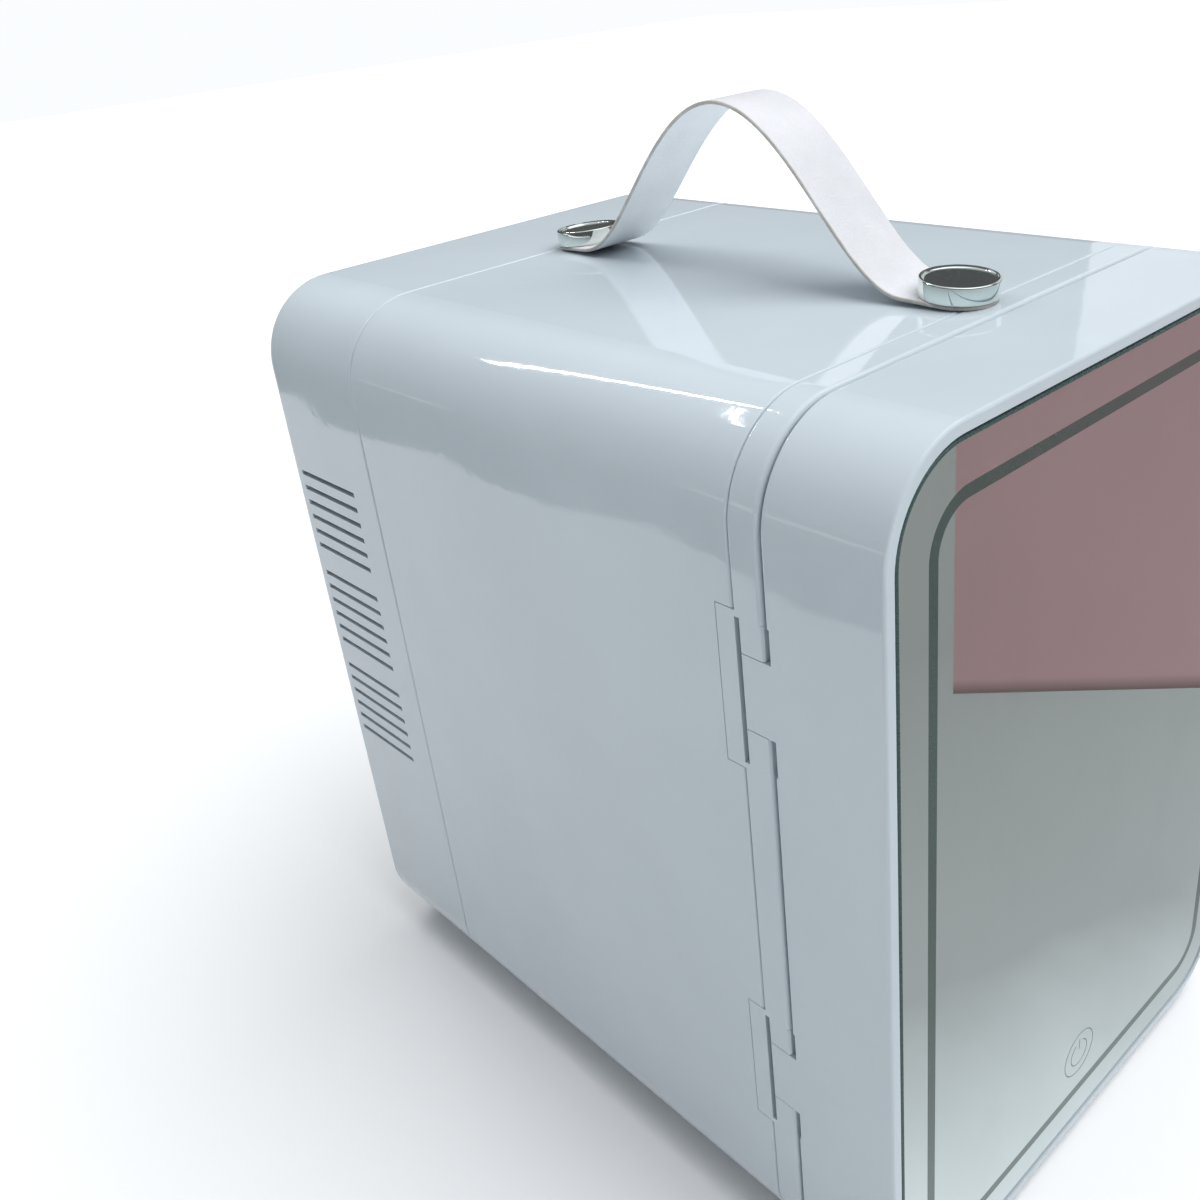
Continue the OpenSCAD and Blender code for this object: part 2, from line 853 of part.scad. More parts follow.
module front_strap_cap() {
    strap_cap(0);
}

module rear_strap_cap() {
    strap_cap(1);
}

module strap_screws() {
    head_r = 4.6;
    head_h = 2.6;
    shank_l = 14;
    color(steel_grey)
        for (k = [0, 1])
            on_strap_end(k) {
                translate([0, 0, strap_t])
                    cylinder(r = head_r, h = head_h);
                translate([0, 0, strap_t - shank_l])
                    cylinder(r = screw_r, h = shank_l + e);
            }
}

module strap_backing_plates() {
    plate_size = [22, 14, 3];
    color(steel_grey)
        for (k = [0, 1])
            difference() {
                translate([0, cap_y[k], z_top - wall - 0.2 - plate_size[2] / 2])
                    cube(plate_size, center = true);
                on_strap_end(k)
                    translate([0, 0, -14])
                        cylinder(r = screw_r + 0.05, h = 14);
            }
}

// ---------- hinges and latch ----------

module hinge_pin(top) {
    color(chrome_grey)
        translate([pin_x, pin_y, top - slot_h - 3.9])
            cylinder(r = pin_r, h = slot_h + 7.8);
}

module upper_hinge_pin() {
    hinge_pin(hinge_tops[0]);
}

module lower_hinge_pin() {
    hinge_pin(hinge_tops[1]);
}

module striker_plates() {
    color(steel_grey)
        for (z = strike_z)
            plate(strike_w, strike_h, 1, y_frame + wall - 1.1, y_frame + wall, z, strike_x);
}

// ---------- door ----------

rim_in = mirror_margin - glass_gap;
plug_hw = 84;
door_screw_r = 1.2;
door_screw_x = body_w / 2 - 9;
door_screw_z = [60, 168, 276];
plug_h = chamber_h - 10;
plug_y = y_door + 9;
panel_t = 2;

// Hinge lug with its root inside the door.
module door_lug(top) {
    root_d = 12;
    translate([0, 0, top - lug_drop - lug_h])
        linear_extrude(lug_h) {
            lug_round();
            translate([-body_w / 2 + 1, y_door - root_d])
                square([2 * lug_r - 1, root_d + e]);
            translate([-body_w / 2, y_door - 2])
                square([2 * lug_r, pin_y - y_door + 2]);
        }
}

module door_shell() {
    front_r = 1;
    back_r = 1;
    color(white_abs)
        difference() {
            union() {
                difference() {
                    union() {
                        sweep_casing()
                            wall_section(y_front, y_door, front_r, back_r, rim_in);
                        casing_plate(rim_in - e, y_recess, y_recess + wall);
                    }
                    casing_plate(wall, y_recess + wall, y_door + 1);
                }
                for (top = hinge_tops)
                    door_lug(top);
            }
            for (top = hinge_tops) {
                translate([pin_x, pin_y, top - slot_h])
                    cylinder(r = pin_r + 0.1, h = slot_h);
                for (z = [top - lug_drop, top - slot_h])
                    translate([-body_w / 2 - 1, y_door - 1.2, z])
                        cube([slot_depth, 2, z == top - slot_h ? slot_h - lug_drop - lug_h : lug_drop]);
            }
        }
}

module mirror_glass() {
    color([0.75, 0.8, 0.8])
        plate(mirror_w, mirror_h, mirror_r, y_front + glass_set, y_glass);
}

// Ring that follows the light line.
module light_ring(w, ya, yb) {
    ring_w = mirror_w - 2 * light_inset;
    ring_h = mirror_h - 2 * light_inset;
    ring_r = 15;
    difference() {
        plate(ring_w + w, ring_h + w, ring_r + w / 2, ya, yb);
        plate(ring_w - w, ring_h - w, ring_r - w / 2, ya - 1, yb + 1);
    }
}

module mirror_carrier() {
    color(liner_white)
        difference() {
            plate(mirror_w - 1, mirror_h - 1, mirror_r - 0.5, y_glass + 0.1, y_glass + 0.1 + carrier_t);
            light_ring(light_w + 4.4, y_glass, y_glass + carrier_t + 1);
            plate(27, 27, 2, y_glass, y_glass + carrier_t + 1, z_low + touch_h);
        }
}

module light_guide() {
    color(frost_grey)
        light_ring(light_w + 4, y_glass + 0.1, y_glass + 1.7);
}

module led_strip() {
    color([0.95, 0.93, 0.7])
        light_ring(light_w + 3, y_glass + 1.8, y_glass + 2.4);
}

module touch_sensor() {
    color(board_green)
        plate(26, 26, 1.5, y_glass + 0.1, y_glass + 1.3, z_low + touch_h);
    color(steel_grey)
        rod_y(9.5, y_glass + 1.3 - e, y_glass + 1.9, 0, z_low + touch_h);
}

// Room for a lug's root in the pieces inside the door.
module lug_notch(top) {
    translate([-body_w / 2 - 1, y_door - 12.3, top - lug_drop - lug_h - 0.3])
        cube([2 * lug_r + 1.3, 14, lug_h + 0.6]);
}

module door_foam() {
    color(foam_cream)
        difference() {
            casing_plate(wall + slip, y_recess + wall + 0.2, y_door - panel_t - 0.6);
            for (top = hinge_tops)
                lug_notch(top);
            for (z = strike_z)
                block(17, 27, y_door - 14, y_door, z, strike_x);
            for (side = [-1, 1], z = door_screw_z)
                rod_y(door_screw_r + 0.1, y_recess, y_door, side * door_screw_x, z);
        }
}

// Sides of the raised plug's rails that carry the racks.
rail_x = plug_hw - 3;
rail_t = 2.6;
rail_d = 17;
peg_r = 2.4;
rack_z = [44, 182];
rack_h = [46, 40];
peg_y = plug_y + 8;

module door_inner_panel() {
    color(liner_white) {
        difference() {
            union() {
                casing_plate(wall + 0.2, y_door - panel_t - 0.4, y_door - 0.4);
                plate(2 * plug_hw, plug_h, 9, y_door - 1, plug_y, chamber_mid);
            }
            plate(2 * plug_hw - 2 * panel_t, plug_h - 2 * panel_t, 7,
                y_door - panel_t - 1, plug_y - panel_t, chamber_mid);
            for (top = hinge_tops)
                lug_notch(top);
            for (side = [-1, 1], z = door_screw_z)
                rod_y(door_screw_r + 0.1, y_door - 4, y_door + 1, side * door_screw_x, z);
            difference() {
                plate(2 * chamber_hw + 21, chamber_h + 21, chamber_r + 8,
                    y_door - 1.6, y_door + 1, chamber_mid);
                plate(2 * chamber_hw + 3, chamber_h + 3, chamber_r, y_door - 3, y_door + 2, chamber_mid);
            }
        }
        for (side = [-1, 1], k = [0, 1]) {
            block(rail_t, rack_h[k] - 6, plug_y - e, plug_y + rail_d,
                rack_z[k] + rack_h[k] / 2, side * rail_x);
            translate([side * (rail_x - rail_t / 2 + e), peg_y, rack_z[k] + rack_h[k] - 12])
                rotate([0, -side * 90, 0])
                    cylinder(r = peg_r, h = 1.6);
        }
    }
}

module door_gasket() {
    color([0.8, 0.81, 0.83])
        difference() {
            plate(2 * chamber_hw + 20, chamber_h + 20, chamber_r + 7.5, y_door - 1.5, y_frame - slip,
                chamber_mid);
            plate(2 * chamber_hw + 4, chamber_h + 4, chamber_r + 0.5, y_door - 2, y_frame, chamber_mid);
        }
}

module door_magnets() {
    color(steel_grey)
        for (z = strike_z)
            block(12, 24, y_door - 10, y_door - panel_t - 0.6, z, strike_x);
}

module door_screws() {
    color(steel_grey)
        for (side = [-1, 1], z = door_screw_z) {
            rod_y(2 * door_screw_r, y_door - 0.4, y_door + 0.5, side * door_screw_x, z);
            rod_y(door_screw_r, y_door - 12, y_door - 0.4 + e, side * door_screw_x, z);
        }
}

// Open-topped tray that hangs on the door's pegs.
module door_rack(z, h) {
    w = 2 * (rail_x - rail_t / 2) - 2 * slip - 3.2;
    d = 33;
    t = 1.8;
    lip = 26;
    y0 = plug_y + slip;
    color([0.9, 0.93, 0.95])
        difference() {
            union() {
                difference() {
                    block(w, h, y0, y0 + d, z + h / 2);
                    translate([-w / 2 + t, y0 + t, z + t])
                        cube([w - 2 * t, d - 2 * t, h]);
                    translate([-w / 2 - 1, y0 + d - t - 1, z + lip])
                        cube([w + 2, t + 2, h]);
                }
                for (side = [-1, 1])
                    block(1.8, h - 4, y0 + 2, y0 + 15, z + h / 2 + 2, side * (w / 2 + 0.5));
            }
            for (side = [-1, 1]) {
                block(3.2 + 2 * t, 2 * peg_r + 0.8, peg_y - peg_r - 0.4, peg_y + peg_r + 0.4,
                    z + h - 12, side * (w / 2 + 1.6));
                block(3.2 + 2 * t, h - 12, peg_y - peg_r - 0.4, peg_y + peg_r + 0.4,
                    z + (h - 12) / 2 - 1, side * (w / 2 + 1.6));
            }
            for (i = [-4:4])
                block(9, 3, y0 + d - t - 1, y0 + d + 1, z + 14, i * 15);
        }
}

module upper_door_rack() {
    door_rack(rack_z[1], rack_h[1]);
}

module lower_door_rack() {
    door_rack(rack_z[0], rack_h[0]);
}

// ---------- assembly ----------

body_shell();
front_frame();
inner_liner();
insulation_foam();
rear_cover();
rear_bulkhead();
feet();
shelf();
vent_cover();
cold_fan_frame();
cold_fan_rotor();
cold_heatsink();
cold_block();
peltier_module();
hot_heatsink();
hot_fan_frame();
hot_fan_rotor();
power_board();
board_components();
ac_inlet();
dc_inlet();
mode_switch_housing();
mode_rocker();
handle_strap();
front_strap_cap();
rear_strap_cap();
strap_screws();
strap_backing_plates();
rear_cover_screws();
fan_screws();
heatsink_screws();
upper_hinge_pin();
lower_hinge_pin();
striker_plates();
internal_wiring();
door_shell();
mirror_glass();
mirror_carrier();
light_guide();
led_strip();
touch_sensor();
door_foam();
door_inner_panel();
door_gasket();
door_magnets();
door_screws();
upper_door_rack();
lower_door_rack();
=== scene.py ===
"""Mirror-door mini fridge: finishes, fine pieces and studio set-up round the CAD frame."""

from math import cos, pi, radians, sin, tan

import bpy
from bpy.props import FloatProperty, FloatVectorProperty, IntProperty, PointerProperty
from bpy.types import Operator, Panel, PropertyGroup
from mathutils import Matrix, Vector


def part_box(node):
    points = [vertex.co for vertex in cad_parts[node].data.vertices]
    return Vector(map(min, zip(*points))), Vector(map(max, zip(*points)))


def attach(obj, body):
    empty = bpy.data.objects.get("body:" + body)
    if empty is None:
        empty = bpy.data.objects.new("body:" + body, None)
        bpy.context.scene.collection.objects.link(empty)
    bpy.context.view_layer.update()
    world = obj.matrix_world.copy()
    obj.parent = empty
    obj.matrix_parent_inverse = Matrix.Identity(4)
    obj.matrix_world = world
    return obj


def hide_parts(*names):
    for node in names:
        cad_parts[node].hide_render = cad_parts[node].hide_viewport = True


bl_info = {
    "name": "Mirror-door mini fridge",
    "version": (1, 0, 0),
    "blender": (4, 5, 0),
    "location": "3D View > Sidebar > Mini fridge",
    "description": "Dresses the mini fridge's CAD frame and sets up its studio stage",
    "category": "Object",
}

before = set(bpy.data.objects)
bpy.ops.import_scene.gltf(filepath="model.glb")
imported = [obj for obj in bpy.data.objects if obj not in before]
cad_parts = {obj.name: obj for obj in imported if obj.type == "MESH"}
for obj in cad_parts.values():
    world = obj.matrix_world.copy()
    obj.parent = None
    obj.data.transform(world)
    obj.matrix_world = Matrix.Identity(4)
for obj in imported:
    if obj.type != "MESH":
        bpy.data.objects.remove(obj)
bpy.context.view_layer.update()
MM = 0.001


# ---------- sizes and colours ----------

def length(name, description, value):
    return FloatProperty(name=name, description=description, default=value, min=0, unit="LENGTH", precision=5)


def colour(name, description, value):
    return FloatVectorProperty(name=name, description=description, default=value, size=3,
                               min=0, max=1, subtype="COLOR")


class FridgeSizes(PropertyGroup):
    """Sizes of the pieces that are made here."""

    mirror_corner: length("Mirror corner", "Corner radius of the mirror glass", 27 * MM)
    mirror_arris: length("Mirror arris", "Width of the ground edge of the mirror glass", 0.9 * MM)
    line_inset: length("Light line inset", "Glass edge to the middle of the light line", 15 * MM)
    line_width: length("Light line width", "Width of the light line", 4 * MM)
    line_corner: length("Light line corner", "Corner radius of the light line's middle", 15 * MM)
    mark_height: length("Touch mark height", "Touch mark's centre above the door's lower edge", 40 * MM)
    mark_diameter: length("Touch mark diameter", "Outer diameter of the touch mark", 20 * MM)
    mark_line: length("Touch mark line", "Width of the touch mark's lines", 0.5 * MM)
    strap_thickness: length("Strap thickness", "Thickness of the carrying strap", 1.3 * MM)
    strap_edge: length("Strap edge", "Radius of the strap's folded edges", 0.5 * MM)
    strap_lean: FloatProperty(name="Strap lean", description="Lean of the strap's ends and caps",
                              default=radians(4), subtype="ANGLE")
    strap_inset: length("Strap end inset", "How far the strap's round ends stay inside the caps", 0.4 * MM)
    cap_height: length("Cap height", "Height of the round end caps", 6 * MM)
    cap_rim: length("Cap rim", "Width of the raised rim on the end caps", 1.1 * MM)
    gasket_width: length("Gasket width", "Width of the door seal", 8 * MM)
    fan_blades: IntProperty(name="Fan blades", description="Blades on each fan wheel", default=7, min=3)


class FridgeColours(PropertyGroup):
    """Colours of the finishes."""

    casing: colour("Casing", "Glossy moulded casing", (0.535, 0.605, 0.655))
    liner: colour("Liner", "Moulded lining of chamber and door", (0.78, 0.8, 0.82))
    strap: colour("Strap", "Coated face of the strap", (0.65, 0.66, 0.695))
    # Painted light: the strap's underside gets a much lighter copy of the coating's colour, standing in for
    # light on the face that looks down.
    strap_underside_painted_light: colour("Strap underside painted light", "Strap underside coating, painted lighter", (0.95, 0.96, 0.985))
    strap_edge: colour("Strap edge", "Painted edge of the strap", (0.6, 0.57, 0.52))
    silver: colour("Mirror", "Silvering of the mirror", (0.86, 0.91, 0.9))
    line: colour("Light line", "Etched line that the light shines through", (0.04, 0.07, 0.062))
    glass_edge: colour("Glass edge", "Ground edge of the mirror glass", (0.05, 0.09, 0.085))
    rubber: colour("Rubber", "Feet", (0.045, 0.046, 0.05))
    gasket: colour("Gasket", "Door seal", (0.6, 0.62, 0.64))


class FridgeStage(PropertyGroup):
    """Camera, floor and lights."""

    eye: FloatVectorProperty(name="Camera place", description="Where the camera stands", size=3,
                             default=(-0.3166, -0.3136, 0.4375), subtype="TRANSLATION")
    aim: FloatVectorProperty(name="Camera aim", description="Direction that the camera looks in", size=3,
                             default=(0.5886, 0.68013, -0.437), subtype="DIRECTION")
    tilt: FloatVectorProperty(name="Camera right", description="Direction of the picture's right side",
                              size=3, default=(0.72294, -0.68476, -0.09199), subtype="DIRECTION")
    lens: FloatProperty(name="Lens", description="Focal length on a 36 mm sensor", default=36.486, min=1)
    shift: FloatVectorProperty(name="Lens shift", description="Sideways and upward shift of the lens",
                               size=2, default=(-0.0562, -0.0492))
    floor: colour("Floor", "Plain floor", (0.87, 0.88, 0.89))
    key: FloatProperty(name="Overhead light", description="Power of the overhead softbox in watts",
                       default=9, min=0)
    sun: FloatProperty(name="Soft sun", description="Strength of the wide soft sun", default=1.9, min=0)
    sky: FloatProperty(name="Sky", description="Brightness of the room straight above", default=0.8, min=0)
    horizon: FloatProperty(name="Horizon", description="Brightness of the room at eye level",
                           default=0.1, min=0)


# ---------- shader building ----------

class Socket:
    """An output socket that takes part in arithmetic; each operator adds one Math node."""

    def __init__(self, finish, socket):
        self.finish = finish
        self.socket = socket

    def _math(self, operation, first, second):
        return self.finish.add("ShaderNodeMath", {"operation": operation}, {0: first, 1: second})

    def __add__(self, other):
        return self._math("ADD", self, other)

    def __radd__(self, other):
        return self._math("ADD", other, self)

    def __sub__(self, other):
        return self._math("SUBTRACT", self, other)

    def __rsub__(self, other):
        return self._math("SUBTRACT", other, self)

    def __mul__(self, other):
        return self._math("MULTIPLY", self, other)

    def __rmul__(self, other):
        return self._math("MULTIPLY", other, self)

    def __gt__(self, other):
        return self._math("GREATER_THAN", self, other)


class Finish:
    """A material, or a world, built node by node."""

    def __init__(self, name, owner=None):
        self.owner = owner or bpy.data.materials.new(name)
        self.owner.use_nodes = True
        self.tree = self.owner.node_tree
        self.tree.nodes.clear()

    def add(self, kind, settings=None, sockets=None, out=0):
        """Adds a node: its settings first, then its sockets' values or links. Returns one output, if any."""
        node = self.tree.nodes.new(kind)
        for name, value in (settings or {}).items():
            if name == "stops":
                ramp = node.color_ramp
                while len(ramp.elements) < len(value):
                    ramp.elements.new(0.5)
                for element, (place, tone) in zip(ramp.elements, value):
                    element.position = place
                    element.color = (*tone, 1) if isinstance(tone, (tuple, list)) else (tone, tone, tone, 1)
            else:
                setattr(node, name, value)
        for key, value in (sockets or {}).items():
            if isinstance(value, Socket):
                self.tree.links.new(value.socket, node.inputs[key])
            elif value is not None:
                target = node.inputs[key]
                target.default_value = (*value, 1) if target.type == "RGBA" else value
        return Socket(self, node.outputs[out]) if len(node.outputs) else None

    def place(self):
        """Position on the piece, in metres."""
        return self.add("ShaderNodeTexCoord", out="Object")

    def stretched(self, x, y, z):
        """Position on the piece with each direction scaled."""
        return self.add("ShaderNodeVectorMath", {"operation": "MULTIPLY"}, {0: self.place(), 1: (x, y, z)})

    def noise(self, size, detail=3.0, roughness=0.55, place=None):
        """Soft noise, 0 to 1, with features of a given size in metres."""
        return self.add("ShaderNodeTexNoise", None, {
            "Vector": place or self.place(), "Scale": 1 / size, "Detail": detail, "Roughness": roughness})

    def cells(self, size, feature="F1"):
        """Distance inside a cell pattern with cells of a given size in metres."""
        return self.add("ShaderNodeTexVoronoi", {"feature": feature},
                        {"Vector": self.place(), "Scale": 1 / size}, out="Distance")

    def spread(self, value, low, high, start=0.0, end=1.0):
        """Maps low..high to start..end, clamped."""
        return self.add("ShaderNodeMapRange", None, {
            "Value": value, "From Min": low, "From Max": high, "To Min": start, "To Max": end})

    def blend(self, factor, first, second):
        """Colour mix of first and second."""
        return self.add("ShaderNodeMix", {"data_type": "RGBA"}, {0: factor, 6: first, 7: second}, out=2)

    def bump(self, height, depth, normal=None):
        """Relief with a given depth in metres for heights of 0 to 1."""
        return self.add("ShaderNodeBump", None, {
            "Strength": 1.0, "Distance": depth, "Height": height, "Normal": normal})

    def soft_edges(self, radius):
        """Normal that rounds sharp moulded edges."""
        return self.add("ShaderNodeBevel", {"samples": 4}, {"Radius": radius})

    def surface(self, shader):
        self.add("ShaderNodeOutputMaterial", None, {"Surface": shader})
        return self.owner

    def skin(self, colour, rough, normal=None, metal=None, **constants):
        """Principled surface: colour, roughness, normal and metal may vary; the rest is constant."""
        sockets = {"Base Color": colour, "Roughness": rough, "Normal": normal, "Metallic": metal}
        sockets.update({key.replace("_", " "): value for key, value in constants.items()})
        return self.surface(self.add("ShaderNodeBsdfPrincipled", None, sockets))


def shade(tone, factor):
    """A colour made darker or lighter."""
    return tuple(min(1.0, part * factor) for part in tone)


def tint(tone, other, amount):
    """A colour moved towards another."""
    return tuple(a + (b - a) * amount for a, b in zip(tone, other))


# ---------- finishes ----------

def casing_plastic(tones):
    """Glossy ABS: faint flow marks, handling haze and fine hairline scuffs."""
    f = Finish("casing_plastic")
    base = tuple(tones.casing)
    flow = f.noise(0.09, 4.0)
    speck = f.noise(0.0007, 2.0)
    haze = f.spread(f.noise(0.045, 5.0, 0.6), 0.45, 0.72)
    scuff = f.noise(0.004, 4.0, 0.7, f.stretched(9.0, 1.0, 1.6))
    scuffs = f.spread(scuff, 0.7, 0.76) * haze
    tone = f.blend(f.spread(flow, 0.3, 0.7), shade(base, 0.965), shade(base, 1.03))
    tone = f.blend(f.spread(speck, 0.68, 0.8) * 0.35, tone, shade(base, 0.8))
    tone = f.blend(scuffs * 0.25, tone, shade(base, 1.2))
    rough = 0.035 + 0.03 * haze + 0.12 * scuffs
    peel = f.noise(0.006, 2.0)
    relief = f.bump(peel, 0.00002)
    relief = f.bump(scuffs, 0.00003, relief)
    return f.skin(tone, rough, relief, IOR=1.5)


def bulkhead_plastic(tones):
    """Satin moulded panel with a spark-eroded texture."""
    f = Finish("bulkhead_plastic")
    base = shade(tones.liner, 0.95)
    grain = f.noise(0.0009, 3.0)
    tone = f.blend(f.noise(0.06, 3.0), shade(base, 0.95), shade(base, 1.03))
    return f.skin(tone, 0.42 + 0.1 * grain, f.bump(grain, 0.00012, f.soft_edges(0.0006)))


def liner_plastic(tones):
    """Satin polystyrene lining with a light haze and soft moulded edges."""
    f = Finish("liner_plastic")
    base = tuple(tones.liner)
    cloud = f.noise(0.07, 4.0)
    grain = f.noise(0.0012, 2.0)
    smear = f.spread(f.noise(0.03, 5.0, 0.65, f.stretched(1.0, 1.0, 2.4)), 0.5, 0.75)
    tone = f.blend(f.spread(cloud, 0.3, 0.7), shade(base, 0.955), shade(base, 1.02))
    return f.skin(tone, 0.24 + 0.12 * smear + 0.05 * grain,
                  f.bump(grain, 0.00005, f.soft_edges(0.0006)), IOR=1.55)


def insulating_foam():
    """Cream rigid foam with open cut cells."""
    f = Finish("insulating_foam")
    cells = f.cells(0.0022)
    clumps = f.noise(0.02, 4.0)
    tone = f.blend(f.spread(clumps, 0.3, 0.7), (0.72, 0.63, 0.4), (0.84, 0.78, 0.58))
    # Painted shade: the cut cells darken towards their centres, which the bump sinks into pits.
    tone = f.blend(f.spread(cells, 0.0, 0.35, 0.5, 0.0), tone, (0.5, 0.42, 0.24))
    return f.skin(tone, 0.92, f.bump(cells, 0.0006))


def foot_rubber(tones):
    """Matte rubber with dust on its grain."""
    f = Finish("foot_rubber")
    base = tuple(tones.rubber)
    grain = f.noise(0.0008, 4.0, 0.65)
    dust = f.spread(f.noise(0.006, 4.0), 0.55, 0.75, 0.0, 0.4)
    return f.skin(f.blend(dust, base, (0.28, 0.28, 0.27)), 0.72 + 0.15 * grain, f.bump(grain, 0.00012))


def gasket_rubber(tones):
    """Soft grey seal with a fine extruded grain."""
    f = Finish("gasket_rubber")
    base = tuple(tones.gasket)
    grain = f.noise(0.0011, 3.0)
    cloud = f.noise(0.03, 3.0)
    return f.skin(f.blend(cloud, shade(base, 0.9), shade(base, 1.06)), 0.46 + 0.12 * grain,
                  f.bump(grain, 0.00006), IOR=1.45)


def textured_black():
    """Black plastic with a spark-eroded texture and rubbed high spots."""
    f = Finish("textured_black")
    pits = f.noise(0.0008, 3.0, 0.6)
    rub = f.spread(f.noise(0.012, 5.0), 0.55, 0.75)
    tone = f.blend(rub, (0.018, 0.018, 0.02), (0.05, 0.05, 0.052))
    return f.skin(tone, 0.36 + 0.2 * pits - 0.08 * rub, f.bump(pits, 0.00012, f.soft_edges(0.0004)))


def rocker_red():
    """Glossy red rocker plastic with faint fingermarks."""
    f = Finish("rocker_red")
    marks = f.spread(f.noise(0.003, 4.0), 0.5, 0.7)
    tone = f.blend(f.noise(0.004, 3.0), (0.5, 0.018, 0.012), (0.62, 0.03, 0.02))
    return f.skin(tone, 0.18 + 0.14 * marks, f.bump(f.noise(0.0012), 0.00003, f.soft_edges(0.0005)))


def extruded_aluminium():
    """Extruded aluminium with draw lines along its length and dull oxide clouds."""
    f = Finish("extruded_aluminium")
    lines = f.noise(0.0009, 3.0, 0.6, f.stretched(1.0, 1.0, 0.03))
    oxide = f.spread(f.noise(0.02, 4.0), 0.4, 0.7)
    tone = f.blend(oxide, (0.78, 0.79, 0.8), (0.62, 0.63, 0.64))
    return f.skin(tone, 0.24 + 0.2 * lines + 0.1 * oxide, f.bump(lines, 0.00008, f.soft_edges(0.0003)), 1.0)


def brushed_steel():
    """Zinc-bright steel with turning marks and light stains."""
    f = Finish("brushed_steel")
    marks = f.noise(0.0005, 4.0, 0.7, f.stretched(1.0, 0.25, 1.0))
    stain = f.spread(f.noise(0.008, 4.0), 0.5, 0.72)
    tone = f.blend(stain, (0.66, 0.67, 0.68), (0.5, 0.49, 0.47))
    return f.skin(tone, 0.2 + 0.16 * marks + 0.1 * stain, f.bump(marks, 0.00004, f.soft_edges(0.00025)), 1.0)


def polished_chrome():
    """Polished chrome with wipe marks and hairline scratches."""
    f = Finish("polished_chrome")
    wipe = f.spread(f.noise(0.007, 5.0, 0.6), 0.5, 0.72)
    hair = f.spread(f.noise(0.0012, 3.0, 0.6, f.stretched(8.0, 1.0, 1.0)), 0.68, 0.74)
    tone = f.blend(wipe * 0.4, (0.7, 0.76, 0.73), (0.6, 0.65, 0.62))
    return f.skin(tone, 0.045 + 0.06 * wipe + 0.08 * hair, f.bump(hair, 0.00001), 1.0)


def peltier_ceramic():
    """Fine fired ceramic with a chalky, speckled face."""
    f = Finish("peltier_ceramic")
    grain = f.noise(0.0006, 3.0)
    speck = f.spread(f.noise(0.0016, 2.0), 0.64, 0.72, 0.0, 0.3)
    tone = f.blend(speck, (0.8, 0.8, 0.77), (0.55, 0.54, 0.5))
    return f.skin(tone, 0.55 + 0.15 * grain, f.bump(grain, 0.00004))


def circuit_green():
    """Solder-masked board with copper tracks under the mask."""
    f = Finish("circuit_green")
    tracks = f.add("ShaderNodeTexBrick", {"offset": 0.37, "squash": 1.7, "squash_frequency": 3}, {
        "Vector": f.add("ShaderNodeVectorRotate", {"rotation_type": "X_AXIS"},
                        {"Vector": f.place(), "Angle": pi / 2}),
        "Scale": 130.0, "Mortar Size": 0.05, "Mortar Smooth": 0.3}, out="Fac")
    mottle = f.noise(0.02, 3.0)
    base = f.blend(mottle, (0.012, 0.1, 0.045), (0.02, 0.15, 0.07))
    tone = f.blend(tracks * 0.8, base, (0.06, 0.3, 0.13))
    return f.skin(tone, 0.28 + 0.1 * mottle, f.bump(tracks, 0.00004), IOR=1.5)


def strap_coating(tones, name, base):
    """Coated leather with a small pebble grain and pulled creases."""
    f = Finish(name)
    base = tuple(base)
    pebble = f.cells(0.0009, "SMOOTH_F1")
    crease = f.noise(0.003, 4.0, 0.6, f.stretched(1.0, 3.0, 3.0))
    cloud = f.noise(0.02, 4.0)
    worn = f.spread(f.noise(0.011, 5.0), 0.52, 0.72)
    tone = f.blend(f.spread(cloud, 0.3, 0.7), shade(base, 0.94), shade(base, 1.03))
    # Painted shade: the grain darkens towards the middles of its cells, which the bump sinks into hollows.
    tone = f.blend(f.spread(pebble, 0.0, 0.5, 0.18, 0.0), tone, shade(base, 0.72))
    tone = f.blend(worn * 0.2, tone, tint(base, tuple(tones.strap_edge), 0.35))
    relief = f.bump(pebble, 0.0001)
    return f.skin(tone, 0.4 + 0.14 * pebble - 0.08 * worn, f.bump(crease, 0.00016, relief), IOR=1.47)


def strap_paint(tones):
    """Painted leather edge, a little uneven, with the fibre showing through."""
    f = Finish("strap_paint")
    base = tuple(tones.strap_edge)
    fibre = f.noise(0.0007, 4.0, 0.65)
    patch = f.spread(f.noise(0.009, 4.0), 0.4, 0.68)
    tone = f.blend(patch, shade(base, 0.8), tint(base, tuple(tones.strap), 0.65))
    return f.skin(tone, 0.5 + 0.2 * fibre, f.bump(fibre, 0.00014))


def mirror_silver(tones):
    """Silvered glass with wiped smudges, dust and a few water spots."""
    f = Finish("mirror_silver")
    base = tuple(tones.silver)
    wipe = f.spread(f.noise(0.028, 5.0, 0.62, f.stretched(1.0, 1.0, 0.55)), 0.5, 0.78)
    spots = f.spread(f.cells(0.011), 0.0, 0.07, 1.0, 0.0)
    dust = f.spread(f.noise(0.0009, 2.0), 0.7, 0.76)
    marks = wipe * 0.5 + spots * 0.3 + dust * 0.25
    tone = f.blend(marks * 0.5, base, shade(base, 0.86))
    return f.skin(tone, 0.012 + 0.05 * marks, f.bump(f.noise(0.12, 1.0), 0.00002), 1.0)


def ground_glass(tones):
    """Ground green edge of float glass."""
    f = Finish("ground_glass")
    base = tuple(tones.glass_edge)
    grain = f.noise(0.0005, 3.0)
    drift = f.noise(0.02, 3.0)
    return f.skin(f.blend(drift, shade(base, 0.8), shade(base, 1.25)), 0.2 + 0.15 * grain,
                  f.bump(grain, 0.00003), IOR=1.52)


